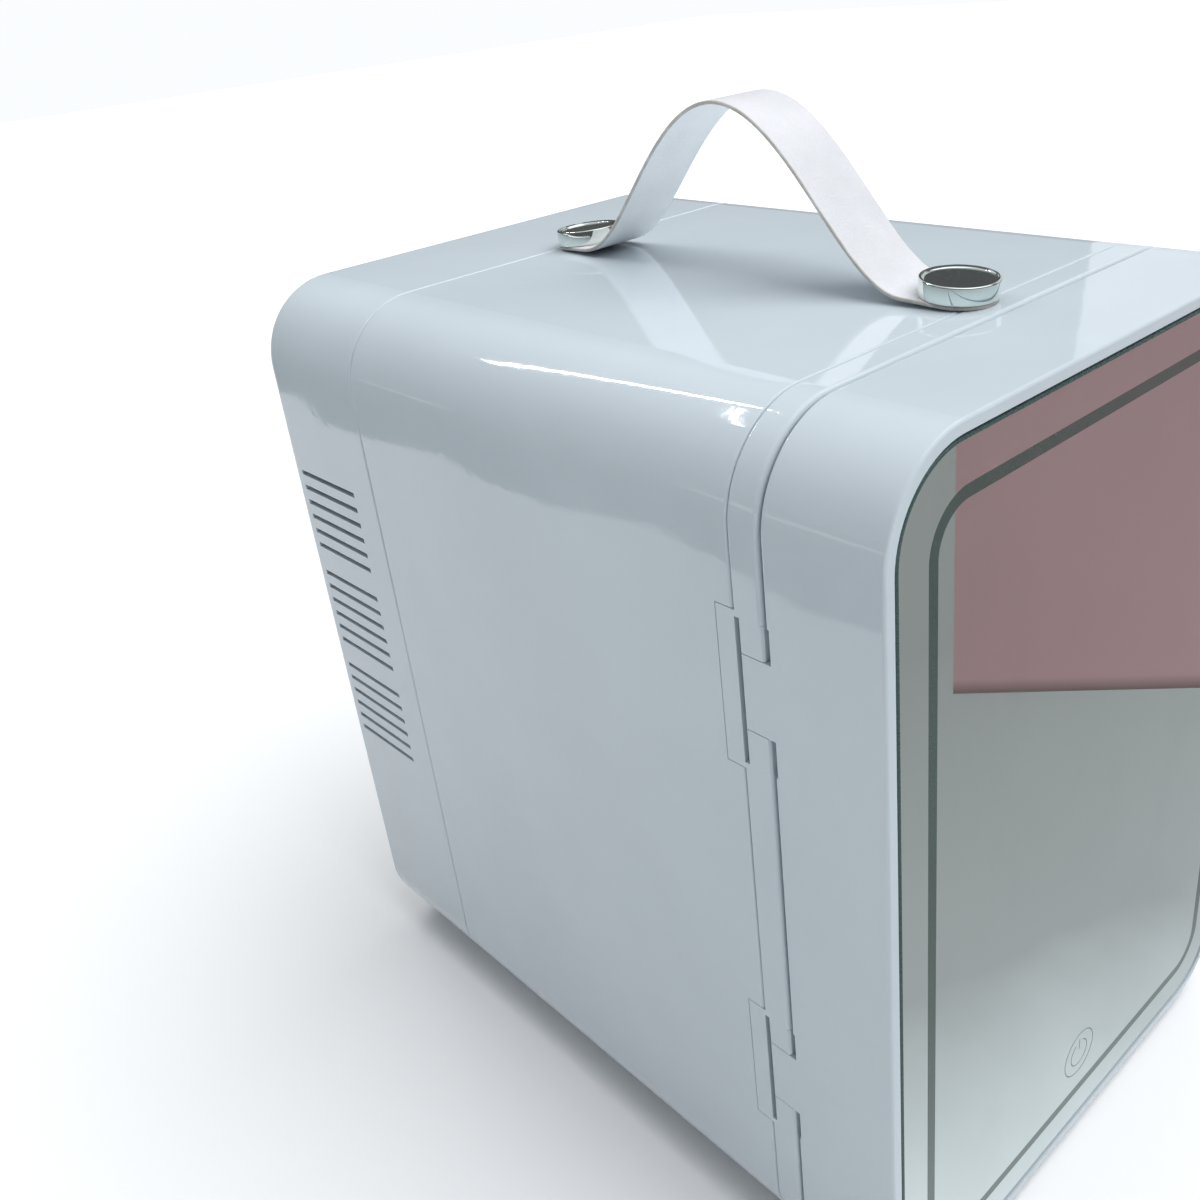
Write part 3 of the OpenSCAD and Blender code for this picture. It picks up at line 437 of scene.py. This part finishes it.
def etched_line(tones):
    """Sandblasted line in the silvering, unlit, with a fine grain."""
    f = Finish("etched_line")
    base = tuple(tones.line)
    grain = f.noise(0.0006, 3.0, 0.7)
    drift = f.noise(0.03, 3.0)
    tone = f.blend(drift, shade(base, 0.85), shade(base, 1.2))
    return f.skin(f.blend(f.spread(grain, 0.55, 0.8), tone, shade(base, 1.5)), 0.16 + 0.16 * grain,
                  f.bump(grain, 0.00001), IOR=1.52, Coat_Weight=0.6, Coat_Roughness=0.03)


def mark_print():
    """Grey print of the touch mark."""
    f = Finish("mark_print")
    grain = f.noise(0.0005, 3.0)
    tone = f.blend(grain, (0.17, 0.19, 0.19), (0.25, 0.27, 0.27))
    return f.skin(tone, 0.4 + 0.1 * grain, f.bump(grain, 0.00001))


def rack_clear(tones):
    """Clear moulded polystyrene, slightly cloudy, with flow lines."""
    f = Finish("rack_clear")
    base = tint(tuple(tones.liner), (0.8, 0.9, 0.95), 0.5)
    flow = f.noise(0.02, 4.0, 0.6, f.stretched(0.4, 1.0, 1.6))
    cloudy = f.spread(flow, 0.4, 0.7)
    return f.skin(f.blend(cloudy, base, shade(base, 0.93)), 0.1 + 0.14 * cloudy,
                  f.bump(flow, 0.00008, f.soft_edges(0.0004)), IOR=1.58, Transmission_Weight=0.55)


def component_cases():
    """Component cases in black, yellow and blue epoxy, one tone to a part of the board."""
    f = Finish("component_cases")
    pick = f.noise(0.03, 0.0)
    grain = f.noise(0.0006, 3.0)
    black = f.blend(grain, (0.02, 0.02, 0.022), (0.05, 0.05, 0.052))
    yellow = f.blend(grain, (0.62, 0.4, 0.04), (0.72, 0.5, 0.08))
    blue = f.blend(grain, (0.02, 0.07, 0.2), (0.04, 0.11, 0.28))
    tone = f.blend(pick > 0.47, black, f.blend(pick > 0.56, yellow, blue))
    return f.skin(tone, 0.3 + 0.15 * grain, f.bump(grain, 0.00004, f.soft_edges(0.0004)), IOR=1.5)


def wire_sleeves(box):
    """Glossy PVC insulation with light scuffing, black on one wire and red on the other."""
    f = Finish("wire_sleeves")
    across = f.add("ShaderNodeSeparateXYZ", None, {0: f.place()}, out=0)
    scuff = f.spread(f.noise(0.004, 4.0), 0.5, 0.7)
    tone = f.blend(across > (box[0].x + box[1].x) / 2, (0.03, 0.03, 0.032), (0.4, 0.02, 0.015))
    tone = f.blend(scuff * 0.15, tone, (0.5, 0.48, 0.46))
    return f.skin(tone, 0.28 + 0.2 * scuff, f.bump(scuff, 0.00003))


# ---------- mesh building ----------

def rounded(width, height, corner, steps=10):
    """Points of a rounded rectangle as (x, z), anticlockwise from its lower right corner."""
    corner = max(corner, 0.00005)
    points = []
    for quarter, (sx, sz) in enumerate(((1, -1), (1, 1), (-1, 1), (-1, -1))):
        start = -pi / 2 + quarter * pi / 2
        for i in range(steps + 1):
            angle = start + (pi / 2) * i / steps
            points.append((sx * (width / 2 - corner) + corner * cos(angle),
                           sz * (height / 2 - corner) + corner * sin(angle)))
    return points


def circle(radius, count):
    """Points of a circle as (x, y)."""
    return [(radius * cos(2 * pi * i / count), radius * sin(2 * pi * i / count)) for i in range(count)]


class Maker:
    """Collects lofted shapes into one mesh."""

    def __init__(self):
        self.points = []
        self.faces = []
        self.slots = []

    def loft(self, loops, bands=None, ends=(0, 0), closed=False):
        """Joins loops of equal length. bands gives a slot per band, or per band and side; ends are
        the slots of the two end faces, which a closed ring of loops doesn't have."""
        count = len(loops[0])
        base = len(self.points)
        for loop in loops:
            self.points.extend(Vector(p) for p in loop)
        spans = len(loops) if closed else len(loops) - 1
        for band in range(spans):
            a = base + band * count
            b = base + ((band + 1) % len(loops)) * count
            for i in range(count):
                j = (i + 1) % count
                self.faces.append((a + i, a + j, b + j, b + i))
                kind = 0 if bands is None else bands[band]
                self.slots.append(kind if isinstance(kind, int) else kind[i])
        if not closed:
            last = base + (len(loops) - 1) * count
            self.faces.append(tuple(base + i for i in reversed(range(count))))
            self.faces.append(tuple(last + i for i in range(count)))
            self.slots.extend(ends)

    def turn(self, profile, place, steps):
        """Lathes (radius, height) points, closed on the axis at both ends; place maps to the frame."""
        loops = [[place @ Vector((x, y, height)) for x, y in circle(max(radius, 0.00004), steps)]
                 for radius, height in profile]
        self.loft(loops)

    def piece(self, name, materials, body, slot_name, smooth=40, replaces=()):
        """Makes the object, rides it on its body and hides the CAD nodes it replaces; slot_name is not used.
        """
        mesh = bpy.data.meshes.new(name)
        mesh.from_pydata(self.points, [], self.faces)
        mesh.update()
        for material in materials:
            mesh.materials.append(material)
        mesh.polygons.foreach_set("material_index", self.slots)
        mesh.shade_smooth()
        mesh.set_sharp_from_angle(angle=radians(smooth))
        made = bpy.data.objects.new(name, mesh)
        bpy.context.scene.collection.objects.link(made)
        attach(made, body)
        if replaces:
            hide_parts(*replaces)
        return made


def quarter(centre, start, end, steps=4):
    """Points of a quarter round about a centre, from start to end."""
    angles = [pi / 2 * i / steps for i in range(steps + 1)]
    return [tuple(c + (a - c) * cos(t) + (b - c) * sin(t) for c, a, b in zip(centre, start, end))
            for t in angles]


def dress(material, *nodes):
    """Gives CAD nodes a finish."""
    for name in nodes:
        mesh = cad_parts[name].data
        mesh.materials.clear()
        mesh.materials.append(material)


# ---------- operators ----------

class FRIDGE_OT_stage(Operator):
    """Sets up the floor, the room, the lights and the camera"""

    bl_idname = "fridge.stage"
    bl_label = "Stage"

    def execute(self, context):
        stage = context.scene.fridge_stage
        scene = context.scene
        scene.view_settings.view_transform = "Standard"
        self.camera(scene, stage)
        self.floor(stage)
        self.room(scene, stage)
        self.lights(stage)
        self.cards()
        return {"FINISHED"}

    def camera(self, scene, stage):
        data = bpy.data.cameras.new("camera")
        data.sensor_width = 36
        data.lens = stage.lens
        data.shift_x, data.shift_y = stage.shift
        data.clip_start = 0.01
        back = -Vector(stage.aim).normalized()
        right = Vector(stage.tilt).normalized()
        up = back.cross(right).normalized()
        right = up.cross(back)
        turn = Matrix((right, up, back)).transposed().to_4x4()
        camera = bpy.data.objects.new("camera", data)
        camera.matrix_world = Matrix.Translation(stage.eye) @ turn
        scene.collection.objects.link(camera)
        scene.camera = camera

    def floor(self, stage):
        f = Finish("plain_floor")
        tone = f.blend(f.noise(0.5, 3.0), shade(stage.floor, 0.985), shade(stage.floor, 1.015))
        away = f.add("ShaderNodeVectorMath", {"operation": "LENGTH"}, {0: f.place()}, out=1)
        glow = f.spread(away, 0.5, 1.8, 0.0, 0.35)
        material = f.skin(tone, 0.7, Emission_Color=glow, Emission_Strength=1.0)
        self.card("floor", material, [(-6, -6, 0), (6, -6, 0)], [(-6, 6, 0), (6, 6, 0)], seen=True)

    def room(self, scene, stage):
        world = bpy.data.worlds.new("room")
        scene.world = world
        f = Finish("room", world)
        up = f.add("ShaderNodeSeparateXYZ", None, {0: f.add("ShaderNodeTexCoord", out="Generated")}, out=2)
        glow = f.spread(up, 0.4, 0.85, stage.horizon, stage.sky)
        seen = f.add("ShaderNodeLightPath", out="Is Camera Ray")
        strength = glow * (1 - seen) + seen
        air = f.add("ShaderNodeBackground", None, {"Color": (0.96, 0.98, 1.0), "Strength": strength})
        f.add("ShaderNodeOutputWorld", None, {"Surface": air})

    def lights(self, stage):
        sun = bpy.data.objects.new("soft_sun", bpy.data.lights.new("soft_sun", "SUN"))
        sun.data.energy = stage.sun
        sun.data.angle = radians(60)
        sun.visible_glossy = False
        sun.matrix_world = Matrix.Rotation(radians(30), 4, "Z") @ Matrix.Rotation(radians(32), 4, "X")
        bpy.context.scene.collection.objects.link(sun)
        self.softbox("overhead_softbox", (0.5, -0.4, 1.7), (0.0, 0.0, 0.2), (1.6, 1.6), stage.key)
        # A long thin light and a short one across its end draw the streak along the upper rounding.
        self.softbox("edge_strip", (-0.1365, 0.5815, 0.9), (-0.1, -0.05, 0.32), (0.012, 0.44), 1.3,
                     (319, -434, 0))
        self.softbox("edge_hook", (-0.17, 0.42, 0.9), (-0.1, -0.1, 0.32), (0.008, 0.2), 0.22,
                     (300, -33, 0))

    def softbox(self, name, place, target, size, power, along=None):
        """Rectangular light at a place, aimed at a target, with its long side along a direction."""
        data = bpy.data.lights.new(name, "AREA")
        data.shape = "RECTANGLE"
        data.size, data.size_y = size
        data.energy = power
        light = bpy.data.objects.new(name, data)
        back = (Vector(place) - Vector(target)).normalized()
        side = Vector(along or (0, 1, 0))
        side = (side - side.dot(back) * back).normalized()
        turn = Matrix((side.cross(back), side, back)).transposed().to_4x4()
        light.matrix_world = Matrix.Translation(place) @ turn
        bpy.context.scene.collection.objects.link(light)

    def cards(self):
        """Reflector cards: rose and grey for the mirror, dark for the side, pale for the top."""
        rose = Finish("rose_card")
        height = rose.add("ShaderNodeSeparateXYZ", None, {0: rose.place()}, out=2)
        tone = rose.blend(rose.noise(0.3, 2.0), (0.41, 0.25, 0.26), (0.47, 0.3, 0.31))
        # Painted shadow: the card's lowest 12 mm darken to a dark line at its foot, standing in for the
        # contact shadow on the floor.
        tone = rose.blend(rose.spread(height, 0.0, 0.012), (0.12, 0.08, 0.08), tone)
        rose.skin(tone, 0.8)
        self.card("rose_card", rose.owner, [(0.227, -0.37, 0.002), (0.55, 0.0, 0.002)],
                  [(0.227, -0.37, 0.38), (0.55, 0.0, 0.38)])
        grey = Finish("grey_card")
        across = grey.add("ShaderNodeSeparateXYZ", None, {0: grey.place()}, out=0)
        away = grey.add("ShaderNodeSeparateXYZ", None, {0: grey.place()}, out=1)
        cloud = grey.noise(0.16, 4.0)
        # Painted light and shade: the grey floor seen in the mirror is bright near the fridge's door and
        # darkens farther off, where the floor lies in shadow.
        painted_floor_light = away - 0.4 * (across + 0.1) + 0.07 * (cloud - 0.5)
        tone = grey.add("ShaderNodeValToRGB", {"stops": [
            (0.0, (0.2, 0.21, 0.205)), (0.6, (0.3, 0.315, 0.32)), (1.0, (0.9, 0.97, 1.0))]},
            {0: grey.spread(painted_floor_light, -0.55, -0.12)})
        grey.skin(tone, 0.8)
        self.card("grey_card", grey.owner, [(-0.6, -1.4, 0.001), (1.4, -1.4, 0.001)],
                  [(-0.6, -0.16, 0.001), (1.4, -0.16, 0.001)])
        dark = Finish("dark_card")
        tone = dark.blend(dark.noise(0.2, 2.0), (0.01, 0.014, 0.012), (0.03, 0.036, 0.034))
        dark.skin(tone, 0.9)
        lower, upper = [], []
        for i in range(18):
            x, y = -0.495 + 0.014 * sin(1.9 * i) + 0.008 * sin(0.8 * i), -0.2 + 0.1 * i
            lower.append((x, y, 0))
            upper.append((x, y, 0.28 + 0.02 * sin(1.3 * i)))
        self.card("dark_card", dark.owner, lower, upper)
        pale = Finish("pale_card")
        pale.skin(pale.blend(pale.noise(0.4, 3.0), (0.8, 0.82, 0.84), (0.95, 0.96, 0.98)), 0.8)
        self.card("pale_card", pale.owner, [(1.6, -0.8, 0.3), (1.6, 0.68, 0.3)],
                  [(1.6, -0.8, 1.4), (1.6, 0.8, 1.4)])

    def card(self, name, material, lower, upper, seen=False):
        """Strip of quads between two rows of points; an unseen one shows only in reflections."""
        count = len(lower)
        mesh = bpy.data.meshes.new(name)
        mesh.from_pydata(lower + upper, [], [(k, k + 1, count + k + 1, count + k) for k in range(count - 1)])
        mesh.materials.append(material)
        made = bpy.data.objects.new(name, mesh)
        made.visible_camera = seen
        made.visible_shadow = seen
        made.visible_diffuse = seen
        bpy.context.scene.collection.objects.link(made)


class FRIDGE_OT_casing(Operator):
    """Finishes the casing, the frame, the rear cover, the door shell and the panel behind them"""

    bl_idname = "fridge.casing"
    bl_label = "Casing"

    def execute(self, context):
        tones = context.scene.fridge_colours
        dress(casing_plastic(tones), "body_shell", "front_frame", "rear_cover", "door_shell")
        dress(bulkhead_plastic(tones), "rear_bulkhead")
        dress(insulating_foam(), "insulation_foam", "door_foam")
        return {"FINISHED"}


class FRIDGE_OT_mirror(Operator):
    """Makes the mirror glass with its ground edge and etched light line, and the touch mark"""

    bl_idname = "fridge.mirror"
    bl_label = "Mirror and touch mark"

    def execute(self, context):
        sizes = context.scene.fridge_sizes
        tones = context.scene.fridge_colours
        low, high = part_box("mirror_glass")
        width, height = high.x - low.x, high.z - low.z
        middle = (low.z + high.z) / 2
        arris = sizes.mirror_arris
        line_w, line_h = width - 2 * sizes.line_inset, height - 2 * sizes.line_inset
        half = sizes.line_width / 2

        def loop(inset, y, corner=None):
            outline = rounded(width - 2 * inset, height - 2 * inset,
                              sizes.mirror_corner - inset if corner is None else corner, 16)
            return [(x, y, middle + z) for x, z in outline]

        hold = 0.08 * MM
        loops = [loop(arris, high.y), loop(0, high.y - arris)]
        loops += [loop(arris * (1 - cos(a)), low.y + arris * (1 - sin(a)))
                  for a in (0, radians(30), radians(60), radians(90))]
        edge_bands = len(loops) - 1
        loops += [loop(arris + hold, low.y), loop(arris + 3 * hold, low.y)]
        for side in (1, -1):
            outline = rounded(line_w + 2 * side * half, line_h + 2 * side * half,
                              sizes.line_corner + side * half, 16)
            loops.append([(x, low.y, middle + z) for x, z in outline])
        glass = Maker()
        glass.loft(loops, bands=[1] * edge_bands + [0, 0, 0, 2], ends=(1, 0))
        glass.piece("mirror_slab", [mirror_silver(tones), ground_glass(tones), etched_line(tones)],
                    "door", "mirror", smooth=50, replaces=["mirror_glass"])
        self.mark(sizes, low.y)
        dress(etched_line(tones), "light_guide", "led_strip")
        dress(liner_plastic(tones), "mirror_carrier")
        dress(circuit_green(), "touch_sensor")
        return {"FINISHED"}

    def mark(self, sizes, y):
        """Circle round a crescent and a short stroke, printed on the glass."""
        outer = sizes.mark_diameter / 2
        line = sizes.mark_line
        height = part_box("door_shell")[0].z + sizes.mark_height
        lift = 0.00006
        mark = Maker()

        def stroke(points):
            loops = []
            for k, (x, z) in enumerate(points):
                before, after = points[max(k - 1, 0)], points[min(k + 1, len(points) - 1)]
                run = Vector((after[0] - before[0], after[1] - before[1])).normalized()
                side = Vector((-run.y, run.x)) * line / 2
                ring = [(x + side.x, y), (x + side.x * 0.6, y - lift), (x - side.x * 0.6, y - lift),
                        (x - side.x, y)]
                drop = [side.y, side.y * 0.6, -side.y * 0.6, -side.y]
                loops.append([(a, b, height + z + c) for (a, b), c in zip(ring, drop)])
            return loops

        def arc(radius, start, end, steps):
            turns = [radians(start + (end - start) * i / steps) for i in range(steps + 1)]
            return [(radius * cos(turn), radius * sin(turn)) for turn in turns]

        # The ring closes on itself, so its first loop is set square to the circle there.
        ring = stroke(arc(outer, 0, 360, 72)[:-1])
        ring[0] = stroke([(outer, -0.0001), (outer, 0.0001)])[0]
        mark.loft(ring, closed=True)
        mark.loft(stroke(arc(outer * 0.56, 115, 425, 48)))
        mark.loft(stroke([(0, outer * 0.2), (0, outer * 0.72)]))
        mark.piece("touch_mark", [mark_print()], "door", "light_diffuser")


class FRIDGE_OT_strap(Operator):
    """Makes the arched carrying strap with folded, painted edges"""

    bl_idname = "fridge.strap"
    bl_label = "Carrying strap"

    def execute(self, context):
        sizes = context.scene.fridge_sizes
        tones = context.scene.fridge_colours
        low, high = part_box("handle_strap")
        thick, lean = sizes.strap_thickness, sizes.strap_lean
        half = (high.x - low.x) / 2
        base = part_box("body_shell")[1].z
        rise = high.z - base - thick
        ends = [cap_foot(sizes, side) for side in (0, 1)]
        reach = 13 * MM
        tongue = tongue_radius(sizes)
        lift = tongue * sin(lean)
        y0, y1 = ends[0] + reach * cos(lean), ends[1] - reach * cos(lean)
        start = lift + reach * sin(lean)
        bulge = 0.0187
        swell = tan(lean) * (y1 - y0) * (1 - 2 * pi * bulge) / pi
        path = []
        for i in range(1, 9):
            turn = pi / 2 * i / 8
            path.append((tongue * (1 - cos(turn)), tongue * sin(turn)))
        path += [(tongue + part * reach, tongue + part * (half - tongue)) for part in (0.4, 0.8)]
        front = [(ends[0] + (s - tongue) * cos(lean), lift + (s - tongue) * sin(lean), w) for s, w in path]
        arch = []
        for i in range(61):
            t = i / 60
            hump = (rise - start - swell) * (1 - cos(2 * pi * t)) / 2
            arch.append((y0 + (y1 - y0) * (t - bulge * sin(2 * pi * t)),
                         start + swell * sin(pi * t) + hump, half))
        back = [(ends[1] - (s - tongue) * cos(lean), lift + (s - tongue) * sin(lean), w)
                for s, w in reversed(path)]
        spine = front + arch + back
        round_ = min(sizes.strap_edge, thick * 0.45)
        loops = []
        for k, (y, z, w) in enumerate(spine):
            before, after = spine[max(k - 1, 0)], spine[min(k + 1, len(spine) - 1)]
            run = Vector((after[0] - before[0], after[1] - before[1])).normalized()
            outline = rounded(2 * w, thick, min(round_, 0.8 * w), 4)
            loops.append([(x, y - run.y * (thick / 2 + n), base + z + run.x * (thick / 2 + n))
                          for x, n in outline])
        count = len(loops[0])
        faces = [1] * count
        faces[count // 2 - 1], faces[count - 1] = 0, 2
        strap = Maker()
        strap.loft(loops, bands=[faces] * (len(loops) - 1), ends=(1, 1))
        # The underside gets the lighter copy of the coating: painted light on the face that looks down.
        skins = [strap_coating(tones, "strap_coating", tones.strap), strap_paint(tones),
                 strap_coating(tones, "strap_coating_painted_light", tones.strap_underside_painted_light)]
        strap.piece("carry_strap", skins, "root", "strap_leather", smooth=60, replaces=["handle_strap"])
        return {"FINISHED"}


def tongue_radius(sizes):
    """Radius of the strap's round ends."""
    low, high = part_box("front_strap_cap")
    return (high.x - low.x) / 2 - sizes.strap_inset


def cap_foot(sizes, side):
    """Station along Y where a strap end's screw leaves the underside of the strap."""
    low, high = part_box(("front_strap_cap", "rear_strap_cap")[side])
    sign = (1, -1)[side]
    rise = sizes.strap_thickness + sizes.cap_height / 2
    return (low.y + high.y) / 2 + sign * rise * sin(sizes.strap_lean)


class FRIDGE_OT_caps(Operator):
    """Makes the two polished end caps of the strap"""

    bl_idname = "fridge.caps"
    bl_label = "Strap caps"

    def execute(self, context):
        sizes = context.scene.fridge_sizes
        material = polished_chrome()
        low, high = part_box("front_strap_cap")
        radius = (high.x - low.x) / 2
        tall, rim = sizes.cap_height, sizes.cap_rim
        fine = 0.5 * MM
        profile = [(0, 0), (radius - fine, 0)]
        profile += quarter((radius - fine, fine), (radius - fine, 0), (radius, fine))
        profile += quarter((radius - fine, tall - fine), (radius, tall - fine), (radius - fine, tall))
        inner = radius - rim
        dish = 0.7 * MM
        step = inner - 0.1 * MM
        profile += quarter((step, tall - 0.3 * MM), (inner + 0.2 * MM, tall), (step, tall - dish))
        hollow = 0.2 * MM
        profile += [(inner * k, tall - dish - hollow * (1 - k * k))
                    for k in (0.9, 0.75, 0.6, 0.45, 0.3, 0.15, 0)]
        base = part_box("body_shell")[1].z
        lift = tongue_radius(sizes) * sin(sizes.strap_lean)
        for side, node in enumerate(("front_strap_cap", "rear_strap_cap")):
            lean = sizes.strap_lean * (1, -1)[side]
            foot = Vector((0, cap_foot(sizes, side), base + lift))
            place = Matrix.Translation(foot) @ Matrix.Rotation(lean, 4, "X")
            place = place @ Matrix.Translation((0, 0, sizes.strap_thickness))
            cap = Maker()
            cap.turn(profile, place, 96)
            cap.piece(("front_cap", "rear_cap")[side], [material], "root", "chrome", smooth=50,
                      replaces=[node])
        dress(brushed_steel(), "strap_screws", "strap_backing_plates")
        return {"FINISHED"}


class FRIDGE_OT_hinges(Operator):
    """Makes the domed hinge pins and finishes the latch plates"""

    bl_idname = "fridge.hinges"
    bl_label = "Hinges and latch"

    def execute(self, context):
        steel = brushed_steel()
        for node in ("upper_hinge_pin", "lower_hinge_pin"):
            low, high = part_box(node)
            radius, tall = (high.x - low.x) / 2, high.z - low.z
            dome = radius * 0.6
            profile = [(0, 0)] + quarter((radius - dome, dome), (radius - dome, 0), (radius, dome))
            profile += quarter((radius - dome, tall - dome), (radius, tall - dome), (radius - dome, tall))
            profile.append((0, tall))
            place = Matrix.Translation(((low.x + high.x) / 2, (low.y + high.y) / 2, low.z))
            pin = Maker()
            pin.turn(profile, place, 32)
            pin.piece(node.replace("hinge_pin", "pin"), [steel], "root", "steel", replaces=[node])
        dress(steel, "striker_plates", "door_magnets", "door_screws")
        return {"FINISHED"}


class FRIDGE_OT_feet(Operator):
    """Makes the four rubber feet with a moulded grip ring"""

    bl_idname = "fridge.feet"
    bl_label = "Feet"

    def execute(self, context):
        low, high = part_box("feet")
        radius = 8 * MM
        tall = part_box("body_shell")[0].z - low.z
        stem, top = 2.1 * MM, high.z - low.z
        groove = 0.8 * MM
        profile = [(0, groove), (radius * 0.45, groove), (radius * 0.5, 0), (radius * 0.62, 0),
                   (radius * 0.66, groove), (radius * 0.74, groove), (radius * 0.78, 0)]
        profile += quarter((radius - 1.2 * MM, 1.2 * MM), (radius - 1.2 * MM, 0), (radius, 1.2 * MM))
        profile += quarter((radius - groove, tall - groove), (radius, tall - groove), (radius - groove, tall))
        profile += [(stem, tall), (stem, top - 0.3 * MM), (stem - 0.3 * MM, top), (0, top)]
        feet = Maker()
        for x in (low.x + radius, high.x - radius):
            for y in (low.y + radius, high.y - radius):
                feet.turn(profile, Matrix.Translation((x, y, low.z)), 40)
        feet.piece("rubber_feet", [foot_rubber(context.scene.fridge_colours)], "root", "rubber_grey",
                   replaces=["feet"])
        return {"FINISHED"}


class FRIDGE_OT_lining(Operator):
    """Finishes the chamber and the door's inner panel, and makes the hollow door seal"""

    bl_idname = "fridge.lining"
    bl_label = "Linings and seal"

    def execute(self, context):
        tones = context.scene.fridge_colours
        dress(liner_plastic(tones), "inner_liner", "vent_cover", "door_inner_panel", "shelf")
        low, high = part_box("door_gasket")
        width, height = high.x - low.x, high.z - low.z
        middle, wide = (low.z + high.z) / 2, context.scene.fridge_sizes.gasket_width
        deep = high.y - low.y
        corner = 14.5 * MM
        profile = [(0.0, 0.35), (0.03, 0.7), (0.1, 0.92), (0.22, 1.0), (0.36, 0.94), (0.44, 0.8), (0.5, 0.74),
                   (0.56, 0.8), (0.64, 0.94), (0.78, 1.0), (0.9, 0.92), (0.97, 0.7), (1.0, 0.35), (0.94, 0.0),
                   (0.06, 0.0)]
        loops = []
        for across, out in profile:
            inset = across * wide
            outline = rounded(width - 2 * inset, height - 2 * inset, corner - inset * 0.95, 10)
            loops.append([(x, low.y + out * deep, middle + z) for x, z in outline])
        seal = Maker()
        seal.loft(loops, closed=True)
        seal.piece("door_seal", [gasket_rubber(tones)], "door", "gasket_grey", smooth=45,
                   replaces=["door_gasket"])
        dress(rack_clear(tones), "upper_door_rack", "lower_door_rack")
        return {"FINISHED"}


class FRIDGE_OT_cooling(Operator):
    """Makes the fan wheels with twisted blades and finishes the cooling stack"""

    bl_idname = "fridge.cooling"
    bl_label = "Cooling unit"

    def execute(self, context):
        blades = context.scene.fridge_sizes.fan_blades
        black = textured_black()
        for body in ("cold_fan", "hot_fan"):
            self.wheel(body, blades, black)
        dress(black, "cold_fan_frame", "hot_fan_frame")
        dress(extruded_aluminium(), "cold_heatsink", "cold_block", "hot_heatsink")
        dress(peltier_ceramic(), "peltier_module")
        dress(brushed_steel(), "fan_screws", "heatsink_screws")
        return {"FINISHED"}

    def wheel(self, body, blades, material):
        low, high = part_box(body + "_rotor")
        tip = (high.x - low.x) / 2
        middle = Vector(((low.x + high.x) / 2, low.y, (low.z + high.z) / 2))
        place = Matrix.Translation(middle) @ Matrix.Rotation(-pi / 2, 4, "X")
        deep = high.y - low.y
        hub, cup = tip * 0.45, deep * 0.78
        wheel = Maker()
        round_ = 1.2 * MM
        ledge = 0.25 * MM
        profile = [(0, 0), (hub * 0.55, 0), (hub * 0.6, ledge), (hub - round_, ledge)]
        profile += quarter((hub - round_, round_ + ledge), (hub - round_, ledge), (hub, round_ + ledge))
        profile += [(hub, cup), (hub - round_, cup), (1.0 * MM, cup), (1.0 * MM, deep), (0, deep)]
        wheel.turn(profile, place, 48)
        span = 8
        for blade in range(blades):
            loops = []
            for k in range(span + 1):
                out = k / span
                radius = hub - 1.0 * MM + (tip - hub + 0.8 * MM) * out
                pitch = radians(52 - 24 * out)
                chord = cup * (0.62 + 0.28 * out) / cos(pi / 2 - pitch) * 0.95
                sweep = 2 * pi * blade / blades + radians(16) * out ** 1.5
                loops.append([self.blade_point(place, radius, sweep, pitch, chord, cup, a)
                              for a in range(12)])
            wheel.loft(loops)
        wheel.piece(body + "_wheel", [material], body, "black_plastic", replaces=[body + "_rotor"])

    def blade_point(self, place, radius, sweep, pitch, chord, cup, index):
        """Point of a thin cambered blade section, laid on a cylinder round the shaft."""
        angle = 2 * pi * index / 12
        along, thick = chord / 2 * cos(angle), 0.55 * MM * sin(angle)
        camber = 0.08 * chord * (1 - (2 * along / chord) ** 2)
        around = along * cos(pitch) - (thick + camber) * sin(pitch)
        height = cup * 0.52 + along * sin(pitch) + (thick + camber) * cos(pitch)
        height = min(max(height, 0.3 * MM), cup - 0.1 * MM)
        turn = sweep + around / radius
        return place @ Vector((radius * cos(turn), radius * sin(turn), height))


class FRIDGE_OT_electrics(Operator):
    """Finishes the board, the inlets, the mode switch and the wiring"""

    bl_idname = "fridge.electrics"
    bl_label = "Board, inlets and switch"

    def execute(self, context):
        black = textured_black()
        dress(circuit_green(), "power_board")
        dress(black, "ac_inlet", "dc_inlet", "mode_switch_housing")
        dress(component_cases(), "board_components")
        dress(rocker_red(), "mode_rocker")
        dress(wire_sleeves(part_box("internal_wiring")), "internal_wiring")
        dress(brushed_steel(), "rear_cover_screws")
        return {"FINISHED"}


# ---------- panel and registration ----------

PIECES = (
    FRIDGE_OT_stage, FRIDGE_OT_casing, FRIDGE_OT_mirror, FRIDGE_OT_strap, FRIDGE_OT_caps,
    FRIDGE_OT_hinges, FRIDGE_OT_feet, FRIDGE_OT_lining, FRIDGE_OT_cooling, FRIDGE_OT_electrics,
)


class FRIDGE_PT_pieces(Panel):
    """Lists the mini fridge's pieces, sizes and colours"""

    bl_label = "Mini fridge"
    bl_idname = "FRIDGE_PT_pieces"
    bl_space_type = "VIEW_3D"
    bl_region_type = "UI"
    bl_category = "Mini fridge"

    def draw(self, context):
        layout = self.layout
        for piece in PIECES:
            layout.operator(piece.bl_idname)
        for group in (context.scene.fridge_sizes, context.scene.fridge_colours, context.scene.fridge_stage):
            box = layout.box()
            for name in group.__annotations__:
                box.prop(group, name)


GROUPS = {"fridge_sizes": FridgeSizes, "fridge_colours": FridgeColours, "fridge_stage": FridgeStage}
CLASSES = (*GROUPS.values(), *PIECES, FRIDGE_PT_pieces)


def register():
    for each in CLASSES:
        bpy.utils.register_class(each)
    for name, group in GROUPS.items():
        setattr(bpy.types.Scene, name, PointerProperty(type=group))


def unregister():
    for name in GROUPS:
        delattr(bpy.types.Scene, name)
    for each in reversed(CLASSES):
        bpy.utils.unregister_class(each)


def main():
    register()
    for piece in PIECES:
        family, name = piece.bl_idname.split(".")
        getattr(getattr(bpy.ops, family), name)()


if __name__ == "__main__":
    main()
